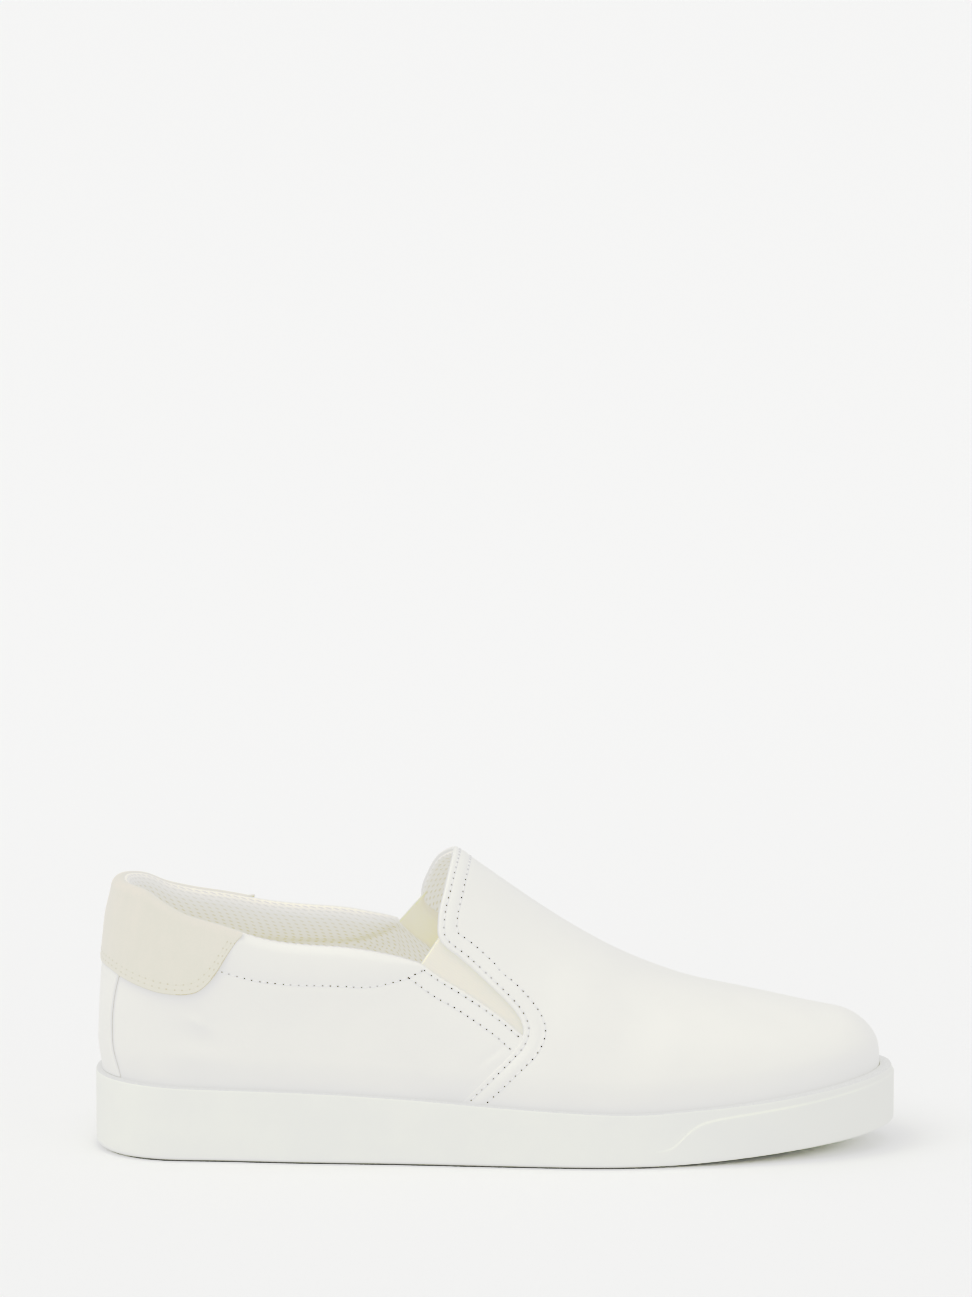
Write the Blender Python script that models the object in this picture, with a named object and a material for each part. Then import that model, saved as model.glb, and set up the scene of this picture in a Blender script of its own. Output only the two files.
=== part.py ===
"""Slip-on sneaker for a right foot, standing empty on its sole.

+X runs from the heel to the toe, +Y from the outer side of the foot to the inner side, and +Z up. The origin is
the middle of the floor rectangle that the shoe fills. Lengths are in metres.

The sole is a moulded cup. The upper is one hollow wall that stands in the cup: two quarters that meet round the
heel, and a vamp that laps over them with a step. A slot between vamp and quarter on each side holds an elastic
gore. A suede patch and a leather backstay lie over the heel, and an insole lies on the floor of the cup.
"""

import math
from collections import namedtuple

import bmesh
import bpy
from mathutils import Vector

OUTER = -1
INNER = 1

# Driving sizes of the sole
SOLE_LENGTH = 0.275
BALL_WIDTH = 0.0910
HEEL_WIDTH = 0.0652
HEEL_ROUND_LENGTH = 0.034
TOE_ROUND_LENGTH = 0.064
TOE_SHIFT = 0.0045
TOE_SPRING = 0.0080
HEEL_LIFT = 0.0014
CUP_HEEL_HEIGHT = 0.0272
CUP_TOE_HEIGHT = 0.0186
FLOOR_HEEL_HEIGHT = 0.0150
FLOOR_BALL_HEIGHT = 0.0090
RIM_ROUND = 0.0012
BOTTOM_ROUND = 0.0014
BUMPER_STEP = 0.0008
BUMPER_LEDGE = 0.0009
GROOVE_DEPTH = 0.0012
GROOVE_WIDTH = 0.0024
GROOVE_MARGIN = 0.0100
FOREFOOT_GROOVES = 8
HEEL_GROOVES = 5

# Driving sizes of the upper
INSTEP_HEIGHT = 0.1024
TOE_HEIGHT = 0.0466
TOE_CAP_LENGTH = 0.0175
HEEL_COLLAR_HEIGHT = 0.0945
SIDE_COLLAR_HEIGHT = 0.0745
LIP_HEEL = 0.0018
LIP_SIDE = 0.0012
LIP_TOE = 0.0038
TUCK = 0.0013
TUCK_HEIGHT = 0.0110
WALL = 0.0022
VAMP_STEP = 0.0010
VAMP_WALL = 0.0029
COLLAR_PAD = 0.0058
COLLAR_PAD_DEPTH = 0.0240
QUARTER_LAP = 0.0033
GORE_THICKNESS = 0.0014
GORE_SINK = 0.0004
GORE_NARROW_END = 0.0035
PATCH_THICKNESS = 0.0012
PATCH_END = 0.0010
BACKSTAY_THICKNESS = 0.0009
BACKSTAY_TOP_WIDTH = 0.0440
BACKSTAY_WAIST_WIDTH = 0.0375
INSOLE_THICKNESS = 0.0045
INSOLE_DISH = 0.0025
CLEARANCE = 0.0003
SLOT_GAP = 0.0006

# How round the ends and the sections are: 2 is an ellipse, and more is fuller
HEEL_FULLNESS = 2.25
TOE_FULLNESS = 2.15
TOE_CAP_FULLNESS = 2.1

# How finely the solids are faceted
STATIONS = 44
VAMP_STATIONS = 20
VAMP_ROWS = 46
WALL_ROWS = 7
SLOT_STATIONS = 16

# The sole from heel to toe, by share of its length. Outer and inner are half widths, as the share of the way from
# the heel's to the ball's. Cup is the height of its side, as the share of the way from the toe's to the heel's.
SolePlan = namedtuple("SolePlan", "share outer inner cup floor lip")
SOLE_PLAN = (
    SolePlan(0.00, 0.00, 0.00, 1.00, 1.00, 0.00),
    SolePlan(0.06, 0.00, 0.00, 0.90, 1.00, 0.10),
    SolePlan(0.13, 0.04, 0.00, 0.80, 1.00, 0.60),
    SolePlan(0.25, 0.30, 0.02, 0.74, 0.92, 1.00),
    SolePlan(0.38, 0.50, 0.00, 0.55, 0.62, 1.00),
    SolePlan(0.51, 0.80, 0.42, 0.27, 0.22, 1.00),
    SolePlan(0.63, 1.00, 0.90, 0.07, 0.00, 1.00),
    SolePlan(0.70, 0.94, 1.00, 0.00, 0.00, 1.00),
    SolePlan(0.76, 0.84, 0.98, 0.00, 0.00, 1.00),
    SolePlan(0.82, 0.71, 0.89, 0.00, 0.00, 1.00),
    SolePlan(0.90, 0.62, 0.74, 0.03, 0.00, 1.00),
    SolePlan(1.00, 0.60, 0.66, 0.10, 0.00, 1.00),
)
SPRING_START = 0.64
SPRING_CURVE = 1.55
HEEL_LIFT_END = 0.110
TOE_SHIFT_START = 0.62
TOE_LIP_START = 0.62
LAP_START = 0.385
LAP_END = 0.455

# The raised toe bumper: how far its upper edge lies below the rim, as a share of the toe's cup height, and how much
# of the step stands there.
Bumper = namedtuple("Bumper", "share drop step")
BUMPER = (
    Bumper(0.000, 0.70, 0.0),
    Bumper(0.690, 0.70, 0.0),
    Bumper(0.716, 0.66, 0.5),
    Bumper(0.736, 0.42, 0.9),
    Bumper(0.752, 0.26, 1.0),
    Bumper(0.775, 0.19, 1.0),
    Bumper(0.820, 0.16, 1.0),
    Bumper(0.900, 0.14, 1.0),
    Bumper(1.000, 0.10, 1.0),
)

# The last that the upper is pulled over. Ridge is the height of its top line, as the share of the way from the
# toe's to the instep's, and behind the throat it is the leg that the open collar makes room for. Shift is how far
# the ridge lies to the inner side, as a share of the toe's shift. Fullness shapes the cross section.
LastPlan = namedtuple("LastPlan", "share ridge shift fullness")
LAST_PLAN = (
    LastPlan(0.000, 1.86, 0.0, 2.00),
    LastPlan(0.200, 1.76, 0.0, 2.00),
    LastPlan(0.300, 1.50, 0.2, 2.00),
    LastPlan(0.400, 1.17, 0.6, 2.00),
    LastPlan(0.449, 0.997, 0.8, 2.00),
    LastPlan(0.501, 0.811, 1.0, 2.005),
    LastPlan(0.551, 0.633, 1.2, 2.02),
    LastPlan(0.601, 0.472, 1.4, 2.05),
    LastPlan(0.651, 0.334, 1.5, 2.10),
    LastPlan(0.701, 0.223, 1.5, 2.15),
    LastPlan(0.751, 0.144, 1.4, 2.20),
    LastPlan(0.801, 0.092, 1.3, 2.25),
    LastPlan(0.852, 0.040, 1.2, 2.30),
    LastPlan(0.902, -0.009, 1.1, 2.35),
    LastPlan(1.000, -0.080, 1.0, 2.40),
)

# The collar line on each side, as the share of the way from the side's height to the heel's.
Collar = namedtuple("Collar", "share outer inner")
COLLAR = (
    Collar(0.000, 0.94, 0.94),
    Collar(0.040, 0.90, 0.83),
    Collar(0.075, 0.71, 0.65),
    Collar(0.110, 0.51, 0.55),
    Collar(0.160, 0.315, 0.445),
    Collar(0.220, 0.085, 0.295),
    Collar(0.260, 0.025, 0.245),
    Collar(0.310, -0.01, 0.205),
    Collar(0.345, -0.07, 0.12),
    Collar(0.376, -0.15, 0.005),
    Collar(0.408, -0.28, -0.19),
)

# Side views of the edges that bound the gore slots. Height is a share of the instep's height, and the others are
# shares of the sole's length from the heel, for each side of the shoe.
EdgeRow = namedtuple("EdgeRow", "height outer inner")
VAMP_EDGE = (
    EdgeRow(0.140, 0.440, 0.440),
    EdgeRow(0.220, 0.461, 0.461),
    EdgeRow(0.310, 0.493, 0.493),
    EdgeRow(0.370, 0.515, 0.513),
    EdgeRow(0.420, 0.531, 0.527),
    EdgeRow(0.455, 0.535, 0.530),
    EdgeRow(0.490, 0.531, 0.525),
    EdgeRow(0.530, 0.520, 0.513),
    EdgeRow(0.600, 0.493, 0.482),
    EdgeRow(0.680, 0.460, 0.445),
    EdgeRow(0.740, 0.4325, 0.4145),
    EdgeRow(0.770, 0.4290, 0.4065),
    EdgeRow(0.820, 0.4300, 0.4070),
    EdgeRow(0.900, 0.4370, 0.4165),
    EdgeRow(0.960, 0.4430, 0.4290),
    EdgeRow(1.000, 0.4480, 0.4480),
)
GORE_TOP = {OUTER: 0.755, INNER: 0.810}
SlotRow = namedtuple("SlotRow", "share height")
OUTER_SLOT = (
    SlotRow(0.408, 0.672),
    SlotRow(0.432, 0.625),
    SlotRow(0.456, 0.587),
    SlotRow(0.481, 0.545),
    SlotRow(0.506, 0.499),
    SlotRow(0.528, 0.451),
    SlotRow(0.580, 0.338),
)
INNER_SLOT = (
    SlotRow(0.378, 0.716),
    SlotRow(0.405, 0.652),
    SlotRow(0.440, 0.589),
    SlotRow(0.475, 0.534),
    SlotRow(0.502, 0.490),
    SlotRow(0.523, 0.450),
    SlotRow(0.575, 0.337),
)

# The lower edge of the suede patch, and the side edge that rises from it to the collar, as shares of the heel's
# collar height and of the sole's length.
PatchRow = namedtuple("PatchRow", "share height")
PATCH_LOW_EDGE = (
    PatchRow(0.000, 0.684),
    PatchRow(0.012, 0.676),
    PatchRow(0.030, 0.655),
    PatchRow(0.055, 0.631),
    PatchRow(0.085, 0.611),
    PatchRow(0.110, 0.606),
    PatchRow(0.128, 0.613),
    PatchRow(0.141, 0.638),
    PatchRow(0.153, 0.677),
    PatchRow(0.166, 0.740),
    PatchRow(0.179, 0.795),
    PatchRow(0.190, 0.835),
)


def lerp(start, end, share):
    return start + (end - start) * share


def ramp(value, start, end):
    """0 before start, 1 after end, and a smooth rise between them."""
    share = min(1.0, max(0.0, (value - start) / (end - start)))
    return share * share * (3.0 - 2.0 * share)


def smooth(rows, key, column, value):
    """The column's value where key has this value, on a smooth curve with no overshoot between the rows."""
    keys = [getattr(row, key) for row in rows]
    heights = [getattr(row, column) for row in rows]
    if value <= keys[0]:
        return heights[0]
    if value >= keys[-1]:
        return heights[-1]
    steps = [(heights[i + 1] - heights[i]) / (keys[i + 1] - keys[i]) for i in range(len(keys) - 1)]

    def slope(i):
        if i in (0, len(keys) - 1):
            return steps[0] if i == 0 else steps[-1]
        before, after = steps[i - 1], steps[i]
        return 0.0 if before * after <= 0.0 else 2.0 * before * after / (before + after)

    i = max(k for k in range(len(keys) - 1) if keys[k] <= value)
    width = keys[i + 1] - keys[i]
    t = (value - keys[i]) / width
    start = (1 + 2 * t) * (1 - t) ** 2 * heights[i] + t * (1 - t) ** 2 * width * slope(i)
    end = t * t * (3 - 2 * t) * heights[i + 1] + t * t * (t - 1) * width * slope(i + 1)
    return start + end


def round_off(reach, fullness):
    """How much of the full height is left at this reach, 0 to 1, along a rounded end."""
    return max(0.0, 1.0 - min(1.0, max(0.0, reach)) ** fullness) ** (1.0 / fullness)


def solve(function, low, high):
    """Where the rising function crosses zero."""
    for _ in range(40):
        middle = (low + high) / 2
        if function(middle) < 0.0:
            low = middle
        else:
            high = middle
    return (low + high) / 2


def sole_half_width(share, side):
    column = "outer" if side == OUTER else "inner"
    width = lerp(HEEL_WIDTH, BALL_WIDTH, smooth(SOLE_PLAN, "share", column, share)) / 2
    heel = round_off(1 - share * SOLE_LENGTH / HEEL_ROUND_LENGTH, HEEL_FULLNESS)
    toe = round_off(1 - (1 - share) * SOLE_LENGTH / TOE_ROUND_LENGTH, TOE_FULLNESS)
    return width * heel * toe


def toe_swing(share):
    """How far the middle of the sole has swung to the inner side."""
    return TOE_SHIFT * ramp(share, TOE_SHIFT_START, 1.0)


def widest(side):
    count = 400
    return max(sole_half_width(i / count, side) + side * toe_swing(i / count) for i in range(count))


CENTRE_SHIFT = (widest(OUTER) - widest(INNER)) / 2


def sole_point(share, side):
    """A point of the sole's outline, seen from above."""
    x = (share - 0.5) * SOLE_LENGTH
    return Vector((x, side * sole_half_width(share, side) + toe_swing(share) + CENTRE_SHIFT))


def inward(share, side):
    """The direction from the sole's outline into the shoe, seen from above."""
    if share <= 0.0:
        return Vector((1, 0))
    if share >= 1.0:
        return Vector((-1, 0))
    step = min(0.0015, share, 1 - share)
    along = sole_point(share + step, side) - sole_point(share - step, side)
    return Vector((side * along.y, -side * along.x)).normalized()


def toe_lift(share):
    return TOE_SPRING * max(0.0, (share - SPRING_START) / (1 - SPRING_START)) ** SPRING_CURVE


def bottom_height(share):
    """The underside of the sole, which also lifts a little at the back of the heel."""
    return toe_lift(share) + HEEL_LIFT * max(0.0, 1 - share / HEEL_LIFT_END) ** 2


def rim_height(share):
    cup = smooth(SOLE_PLAN, "share", "cup", share)
    return toe_lift(share) + lerp(CUP_TOE_HEIGHT, CUP_HEEL_HEIGHT, cup)


def floor_height(share):
    floor = smooth(SOLE_PLAN, "share", "floor", share)
    return toe_lift(share) + lerp(FLOOR_BALL_HEIGHT, FLOOR_HEEL_HEIGHT, floor)


def lip(share):
    """How far the upper stands inside the sole's outline, above its tuck."""
    side = lerp(LIP_HEEL, LIP_SIDE, smooth(SOLE_PLAN, "share", "lip", share))
    return lerp(side, LIP_TOE, ramp(share, TOE_LIP_START, 1.0))


def under_vamp(share):
    """The quarters and the last step in where the vamp laps over them, so that the vamp fills the rim."""
    return VAMP_STEP * ramp(share, LAP_START, LAP_END)


def ridge_height(share):
    ridge = lerp(TOE_HEIGHT, INSTEP_HEIGHT, smooth(LAST_PLAN, "share", "ridge", share))
    rim = rim_height(share)
    return rim + (ridge - rim) * round_off(1 - (1 - share) * SOLE_LENGTH / TOE_CAP_LENGTH, TOE_CAP_FULLNESS)


def foot_point(share, side, rise, inset=0.0):
    """A point of the upper's outline seen from above, this far above the rim and this far inside its wall."""
    tucked = TUCK * (1 - ramp(rise, 0.0, TUCK_HEIGHT))
    return sole_point(share, side) + inward(share, side) * (lip(share) + under_vamp(share) + tucked + inset)


def axis_point(share, rise):
    """The point that the walls lean towards: on the ridge, and in the heel the middle of its round."""
    outer = foot_point(share, OUTER, rise)
    inner = foot_point(share, INNER, rise)
    heel_middle = HEEL_ROUND_LENGTH - SOLE_LENGTH / 2
    shift = TOE_SHIFT * smooth(LAST_PLAN, "share", "shift", share) * round_off(share, 8)
    return Vector((max((outer.x + inner.x) / 2, heel_middle), (outer.y + inner.y) / 2 + shift))


def surface(share, side, level):
    """A point of the last. Level 0 is the rim of the cup, 1 the ridge and -1 the lower edge of the upper."""
    rim = rim_height(share)
    if level <= 0:
        return Vector((*foot_point(share, side, 0.0), lerp(rim, skirt_height(share), -level)))
    rise = level * (ridge_height(share) - rim)
    axis = axis_point(share, rise)
    reach = round_off(level, smooth(LAST_PLAN, "share", "fullness", share))
    return Vector((*(axis + (foot_point(share, side, rise) - axis) * reach), rim + rise))


def outward(share, side, level):
    """The direction square to the last, out of the shoe."""
    if share >= 1.0:
        return Vector((1, 0, 0))
    near, step = 0.0006, 0.004
    if share < near:
        along = surface(near, side, level) - surface(near, -side, level)
    elif share > 1 - near:
        along = surface(1 - near, -side, level) - surface(1 - near, side, level)
    else:
        along = surface(share + near, side, level) - surface(share - near, side, level)
    if level > 1 - step:
        up = surface(share, -side, 1 - step) - surface(share, side, 1 - step)
    else:
        up = surface(share, side, level + step) - surface(share, side, level - step)
    return (along.cross(up) * -side).normalized()


def lifted(share, side, level, lift):
    """A point this far outside the last. A negative lift is inside it."""
    return surface(share, side, level) + outward(share, side, level) * lift


def level_at(share, height):
    """The level of the last at this height above the floor."""
    rim = rim_height(share)
    if height <= rim:
        return (height - rim) / (rim - skirt_height(share))
    return (height - rim) / (ridge_height(share) - rim)


def wall_point(share, side, height, lift=0.0):
    return lifted(share, side, level_at(share, height), lift)


def skirt_height(share):
    """The lower edge of the upper, which stands on the floor of the cup."""
    return floor_height(share) + CLEARANCE


def collar_height(share, side):
    column = "outer" if side == OUTER else "inner"
    return lerp(SIDE_COLLAR_HEIGHT, HEEL_COLLAR_HEIGHT, smooth(COLLAR, "share", column, share))


def slot_rows(side):
    return OUTER_SLOT if side == OUTER else INNER_SLOT


def slot_height(share, side):
    """The lower edge of the gore slot."""
    return INSTEP_HEIGHT * smooth(slot_rows(side), "share", "height", share)


def quarter_top(share, side):
    """The upper edge of a quarter: the collar, and in front of its corner the lower edge of the gore slot."""
    if share < slot_rows(side)[0].share:
        return collar_height(share, side)
    return min(collar_height(share, side), slot_height(share, side))


def vamp_edge(height, side):
    """How far forward the rear edge of the vamp lies at this height, as a share of the sole's length."""
    column = "outer" if side == OUTER else "inner"
    return smooth(VAMP_EDGE, "height", column, height / INSTEP_HEIGHT)


def even_shares(count, start=0.0, end=1.0):
    return [lerp(start, end, i / count) for i in range(count + 1)]


def rounded_shares(count):
    """Shares from 0 to 1 that crowd together at both ends, where the outline turns."""
    return [(1 - math.cos(math.pi * i / count)) / 2 for i in range(count + 1)]


def material(name, colour, roughness):
    made = bpy.data.materials.new(name)
    made.use_nodes = True
    shader = made.node_tree.nodes["Principled BSDF"]
    shader.inputs["Base Color"].default_value = (*colour, 1.0)
    shader.inputs["Roughness"].default_value = roughness
    shader.inputs["Metallic"].default_value = 0.0
    return made


def add_object(name, points, faces, finish):
    """A closed mesh object. Points that fall together at the toe are made one."""
    made = bmesh.new()
    vertices = [made.verts.new(point) for point in points]
    for face in faces:
        made.faces.new([vertices[i] for i in face])
    bmesh.ops.remove_doubles(made, verts=made.verts, dist=1e-6)
    bmesh.ops.dissolve_degenerate(made, dist=1e-7, edges=made.edges)
    bmesh.ops.recalc_face_normals(made, faces=made.faces)
    mesh = bpy.data.meshes.new(name)
    made.to_mesh(mesh)
    made.free()
    mesh.shade_smooth()
    mesh.set_sharp_from_angle(angle=math.radians(40))
    mesh.materials.append(finish)
    placed = bpy.data.objects.new(name, mesh)
    bpy.context.scene.collection.objects.link(placed)
    return placed


def sheet_solid(name, outer, inner, finish, roll=(), open_ends=(0, -1)):
    """The solid between two grids of points, each a list of rows. Roll rows carry the last row of the outer grid
    over to the last row of the inner one. Open ends are the columns where the sheet stops: at a column that isn't
    one of them, the two halves of the grid fall together and close the sheet."""
    rows, columns = len(outer), len(outer[0])
    layers = [*outer, *roll, *reversed(inner)]
    points = [point for row in layers for point in row]

    def index(row, column):
        return row * columns + column

    faces = []
    for row in range(len(layers)):
        above = (row + 1) % len(layers)
        for column in range(columns - 1):
            faces.append(
                (index(row, column), index(row, column + 1), index(above, column + 1), index(above, column))
            )
    last = len(layers) - 1
    for column in [end % columns for end in open_ends]:
        for row in range(rows - 1):
            faces.append(
                (index(row, column), index(row + 1, column), index(last - row - 1, column), index(last - row, column))
            )
        if roll:
            faces.append([index(row, column) for row in range(rows - 1, rows + len(roll) + 1)])
    return add_object(name, points, faces, finish)


def keep_hidden(helper):
    helper.hide_render = True
    helper.display_type = "WIRE"


def combine(target, helper, operation):
    cut = target.modifiers.new(helper.name, "BOOLEAN")
    cut.operation = operation
    cut.solver = "EXACT"
    cut.object = helper
    keep_hidden(helper)


def sole_profile(share, side):
    """The section of the cup's side at one point of its outline: from the bottom edge, up the outside, over the rim
    and down to the floor, as (distance inside the outline, height)."""
    bottom = bottom_height(share)
    rim = rim_height(share)
    drop = CUP_TOE_HEIGHT * smooth(BUMPER, "share", "drop", share)
    step = BUMPER_STEP * smooth(BUMPER, "share", "step", share)
    well = lip(share) + TUCK - CLEARANCE
    return (
        (BOTTOM_ROUND, bottom),
        (BOTTOM_ROUND * 0.3, bottom + BOTTOM_ROUND * 0.3),
        (0.0, bottom + BOTTOM_ROUND),
        (0.0, rim - drop - BUMPER_LEDGE),
        (step * 0.3, rim - drop - BUMPER_LEDGE * 0.3),
        (step, rim - drop),
        (step * 1.05, rim - RIM_ROUND),
        (step * 0.8 + RIM_ROUND * 0.25, rim - RIM_ROUND * 0.3),
        (min(step * 0.6 + RIM_ROUND, well * 0.8), rim),
        (well, rim),
        (well, floor_height(share)),
    )


def outline_walk():
    """Once round the sole, from the heel along the outer side to the toe and back: (share, side) pairs."""
    shares = rounded_shares(STATIONS)
    return [(share, OUTER) for share in shares] + [(share, INNER) for share in reversed(shares[1:-1])]


def make_sole(finish):
    walk = outline_walk()
    count = len(walk)
    rings = []
    for share, side in walk:
        edge, direction = sole_point(share, side), inward(share, side)
        rings.append([(*(edge + direction * inset), height) for inset, height in sole_profile(share, side)])
    levels = len(rings[0])
    points = [ring[level] for level in range(levels) for ring in rings]
    faces = []
    for level in range(levels - 1):
        for i in range(count):
            after = (i + 1) % count
            faces.append(
                (level * count + i, level * count + after, (level + 1) * count + after, (level + 1) * count + i)
            )
    for level in (0, levels - 1):
        for i in range(STATIONS):
            across = [i, i + 1, (count - i - 1) % count, (count - i) % count]
            faces.append([level * count + k for k in dict.fromkeys(across)])
    sole = add_object("sole", points, faces, finish)
    combine(sole, make_tread_cutter(), "DIFFERENCE")
    return sole


def groove_shares():
    heel = even_shares(HEEL_GROOVES - 1, 0.065, 0.235)
    forefoot = even_shares(FOREFOOT_GROOVES - 1, 0.530, 0.855)
    return heel + forefoot


def make_tread_cutter():
    """The bars that cut the grooves across the tread, square to the sole's bottom, which lifts at the toe."""
    points, faces = [], []
    for share in groove_shares():
        ends = [sole_point(share, side) for side in (OUTER, INNER)]
        slope = (bottom_height(share + 0.01) - bottom_height(share - 0.01)) / (0.02 * SOLE_LENGTH)
        along = Vector((1, 0, slope)).normalized()
        up = Vector((-slope, 0, 1)).normalized()
        corners = []
        for end, side in zip(ends, (OUTER, INNER)):
            middle = Vector((end.x, end.y - side * GROOVE_MARGIN, bottom_height(share)))
            for reach, rise in ((-1, -1), (1, -1), (1, 1), (-1, 1)):
                corners.append(middle + along * (reach * GROOVE_WIDTH / 2) + up * (rise * GROOVE_DEPTH))
        first = len(points)
        points += corners
        box = ((0, 1, 2, 3), (7, 6, 5, 4), (0, 4, 5, 1), (1, 5, 6, 2), (2, 6, 7, 3), (3, 7, 4, 0))
        faces += [[first + i for i in face] for face in box]
    return add_object("tread_cutter", points, faces, None)


def quarter_walk():
    """Along the quarters from the front of the outer one, round the heel, to the front of the inner one."""

    def front(side):
        return slot_rows(side)[-1].share - QUARTER_LAP / SOLE_LENGTH

    def one_side(side):
        heel = [share * 2 for share in rounded_shares(24)[:8]]
        corner = slot_rows(side)[0].share
        middle = even_shares(8, heel[-1], corner)[1:]
        return heel + middle + even_shares(SLOT_STATIONS, corner, front(side))[1:]

    outer = [(share, OUTER) for share in reversed(one_side(OUTER))]
    return outer + [(share, INNER) for share in one_side(INNER)[1:]]


def pad(share, side, height):
    """How thick the wall is at this height: the collar is padded, and the pad dies away at the gore slot."""
    fade = 1 - ramp(share, slot_rows(side)[0].share - 0.05, slot_rows(side)[0].share + 0.02)
    top = quarter_top(share, side)
    depth = ramp(height, top - COLLAR_PAD_DEPTH, top - COLLAR_PAD / 2)
    return lerp(WALL, COLLAR_PAD, depth * fade)


def make_quarters(finish):
    """Both quarters as one wall, with the collar rolled over to half of its thickness on each side."""
    outer, inner, roll = [], [], []
    walk = quarter_walk()
    tops = [quarter_top(share, side) for share, side in walk]
    rounds = [pad(share, side, top) / 2 for (share, side), top in zip(walk, tops)]
    for level in even_shares(WALL_ROWS):
        outside, inside = [], []
        for (share, side), top, rounding in zip(walk, tops, rounds):
            height = lerp(skirt_height(share), top - rounding, level)
            outside.append(wall_point(share, side, height))
            inside.append(wall_point(share, side, height, -pad(share, side, height)))
        outer.append(outside)
        inner.append(inside)
    for turn in (45, 90, 135):
        angle = math.radians(turn)
        roll.append([
            wall_point(share, side, top - rounding * (1 - math.sin(angle)), -rounding * (1 - math.cos(angle)))
            for (share, side), top, rounding in zip(walk, tops, rounds)
        ])
    return sheet_solid("quarters", outer, inner, finish, roll)


def vamp_start(side, level):
    """The share at which the rear edge of the vamp crosses this line of the last."""

    def ahead(share):
        point = surface(share, side, level)
        return point.x / SOLE_LENGTH + 0.5 - vamp_edge(point.z, side)

    return solve(ahead, 0.35, 0.70)


def vamp_levels():
    half = VAMP_ROWS // 2
    return [-1.0, -0.5] + [math.sin(math.pi / 2 * i / half) for i in range(half + 1)]


def make_vamp(finish):
    """The vamp from one side of the cup over the ridge to the other. It closes at the toe."""
    levels = vamp_levels()
    lines = [(OUTER, level) for level in levels] + [(INNER, level) for level in reversed(levels[:-1])]
    turns = [2 * turn - 1 for turn in rounded_shares(2 * VAMP_STATIONS)[VAMP_STATIONS:]]

    def grid(lift):
        made = []
        for side, level in lines:
            begin = vamp_start(side, level)
            made.append([lifted(lerp(begin, 1.0, turn), side, level, lift) for turn in turns])
        return made

    return sheet_solid("vamp", grid(VAMP_STEP), grid(VAMP_STEP - VAMP_WALL), finish, open_ends=[0])


def make_upper(finish):
    """The vamp joined to the quarters. The vamp keeps its step, and the gore slots stay open between them."""
    upper = make_quarters(finish)
    upper.name = "upper"
    combine(upper, make_vamp(finish), "UNION")
    return upper


def make_gore(name, side, finish):
    """The elastic in one slot, from the slot's narrow end up to its free top edge."""
    corner = slot_rows(side)[0].share
    starts = [(vamp_start(side, level), level) for level in vamp_levels()]
    facets = [(surface(share, side, level).z, share) for share, level in starts]

    def top_share(height):
        """The share of the gore's upper edge at this height, beside the facets of the vamp's own edge."""
        for (low, before), (high, after) in zip(facets[2:], facets[3:]):
            if low <= height <= high:
                return lerp(before, after, (height - low) / (high - low)) - SLOT_GAP / SOLE_LENGTH
        return corner

    def low_height(share):
        return slot_height(share, side) + SLOT_GAP

    def past_vamp(share):
        low = low_height(share)
        return share - min(top_share(low), top_share(low + GORE_NARROW_END))

    narrow = solve(past_vamp, corner, 0.6)

    def grid(lift):
        made = []
        for along in even_shares(SLOT_STATIONS):
            share = lerp(narrow, corner, along)
            low = Vector((share, low_height(share)))
            height = lerp(low_height(narrow) + GORE_NARROW_END, GORE_TOP[side] * INSTEP_HEIGHT, along)
            high = Vector((top_share(height), height))
            places = [low.lerp(high, across) for across in even_shares(3)]
            made.append([wall_point(place.x, side, place.y, lift) for place in places])
        return made

    return sheet_solid(name, grid(-GORE_SINK), grid(-GORE_SINK - GORE_THICKNESS), finish)


def patch_low_edge(share):
    return HEEL_COLLAR_HEIGHT * smooth(PATCH_LOW_EDGE, "share", "height", share)


def make_heel_patch(finish):
    """The suede that wraps the heel, from its lower edge up to where the collar rolls over."""

    def top_edge(share, side):
        return collar_height(share, side) - COLLAR_PAD / 2

    def half(side):
        end = solve(lambda share: patch_low_edge(share) + PATCH_END - top_edge(share, side), 0.14, 0.19)
        return [end * turn**1.7 for turn in even_shares(14)]

    walk = [(share, OUTER) for share in reversed(half(OUTER))] + [(share, INNER) for share in half(INNER)[1:]]

    def grid(lift):
        made = []
        for level in even_shares(4):
            row = []
            for share, side in walk:
                row.append(wall_point(share, side, lerp(patch_low_edge(share), top_edge(share, side), level), lift))
            made.append(row)
        return made

    return sheet_solid("heel_patch", grid(CLEARANCE + PATCH_THICKNESS), grid(CLEARANCE), finish)


def make_backstay(finish):
    """The strip down the middle of the heel, between the rim of the cup and the patch."""
    steps = 4

    def share_at(distance):
        """How far along the shoe its outline has come this far sideways from the middle of the heel."""
        return solve(lambda share: sole_half_width(share, OUTER) - distance, 0.0, HEEL_ROUND_LENGTH / SOLE_LENGTH)

    def grid(lift):
        made = []
        for level in even_shares(5):
            width = lerp(BACKSTAY_TOP_WIDTH, BACKSTAY_WAIST_WIDTH, math.sin(math.pi * level))
            row = []
            for across in even_shares(2 * steps, -1.0, 1.0):
                share = share_at(abs(across) * width / 2)
                side = OUTER if across <= 0 else INNER
                low, top = rim_height(share) + CLEARANCE, patch_low_edge(share) - CLEARANCE
                row.append(wall_point(share, side, lerp(low, top, level), lift))
            made.append(row)
        return made

    return sheet_solid("backstay", grid(CLEARANCE + BACKSTAY_THICKNESS), grid(CLEARANCE), finish)


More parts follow.
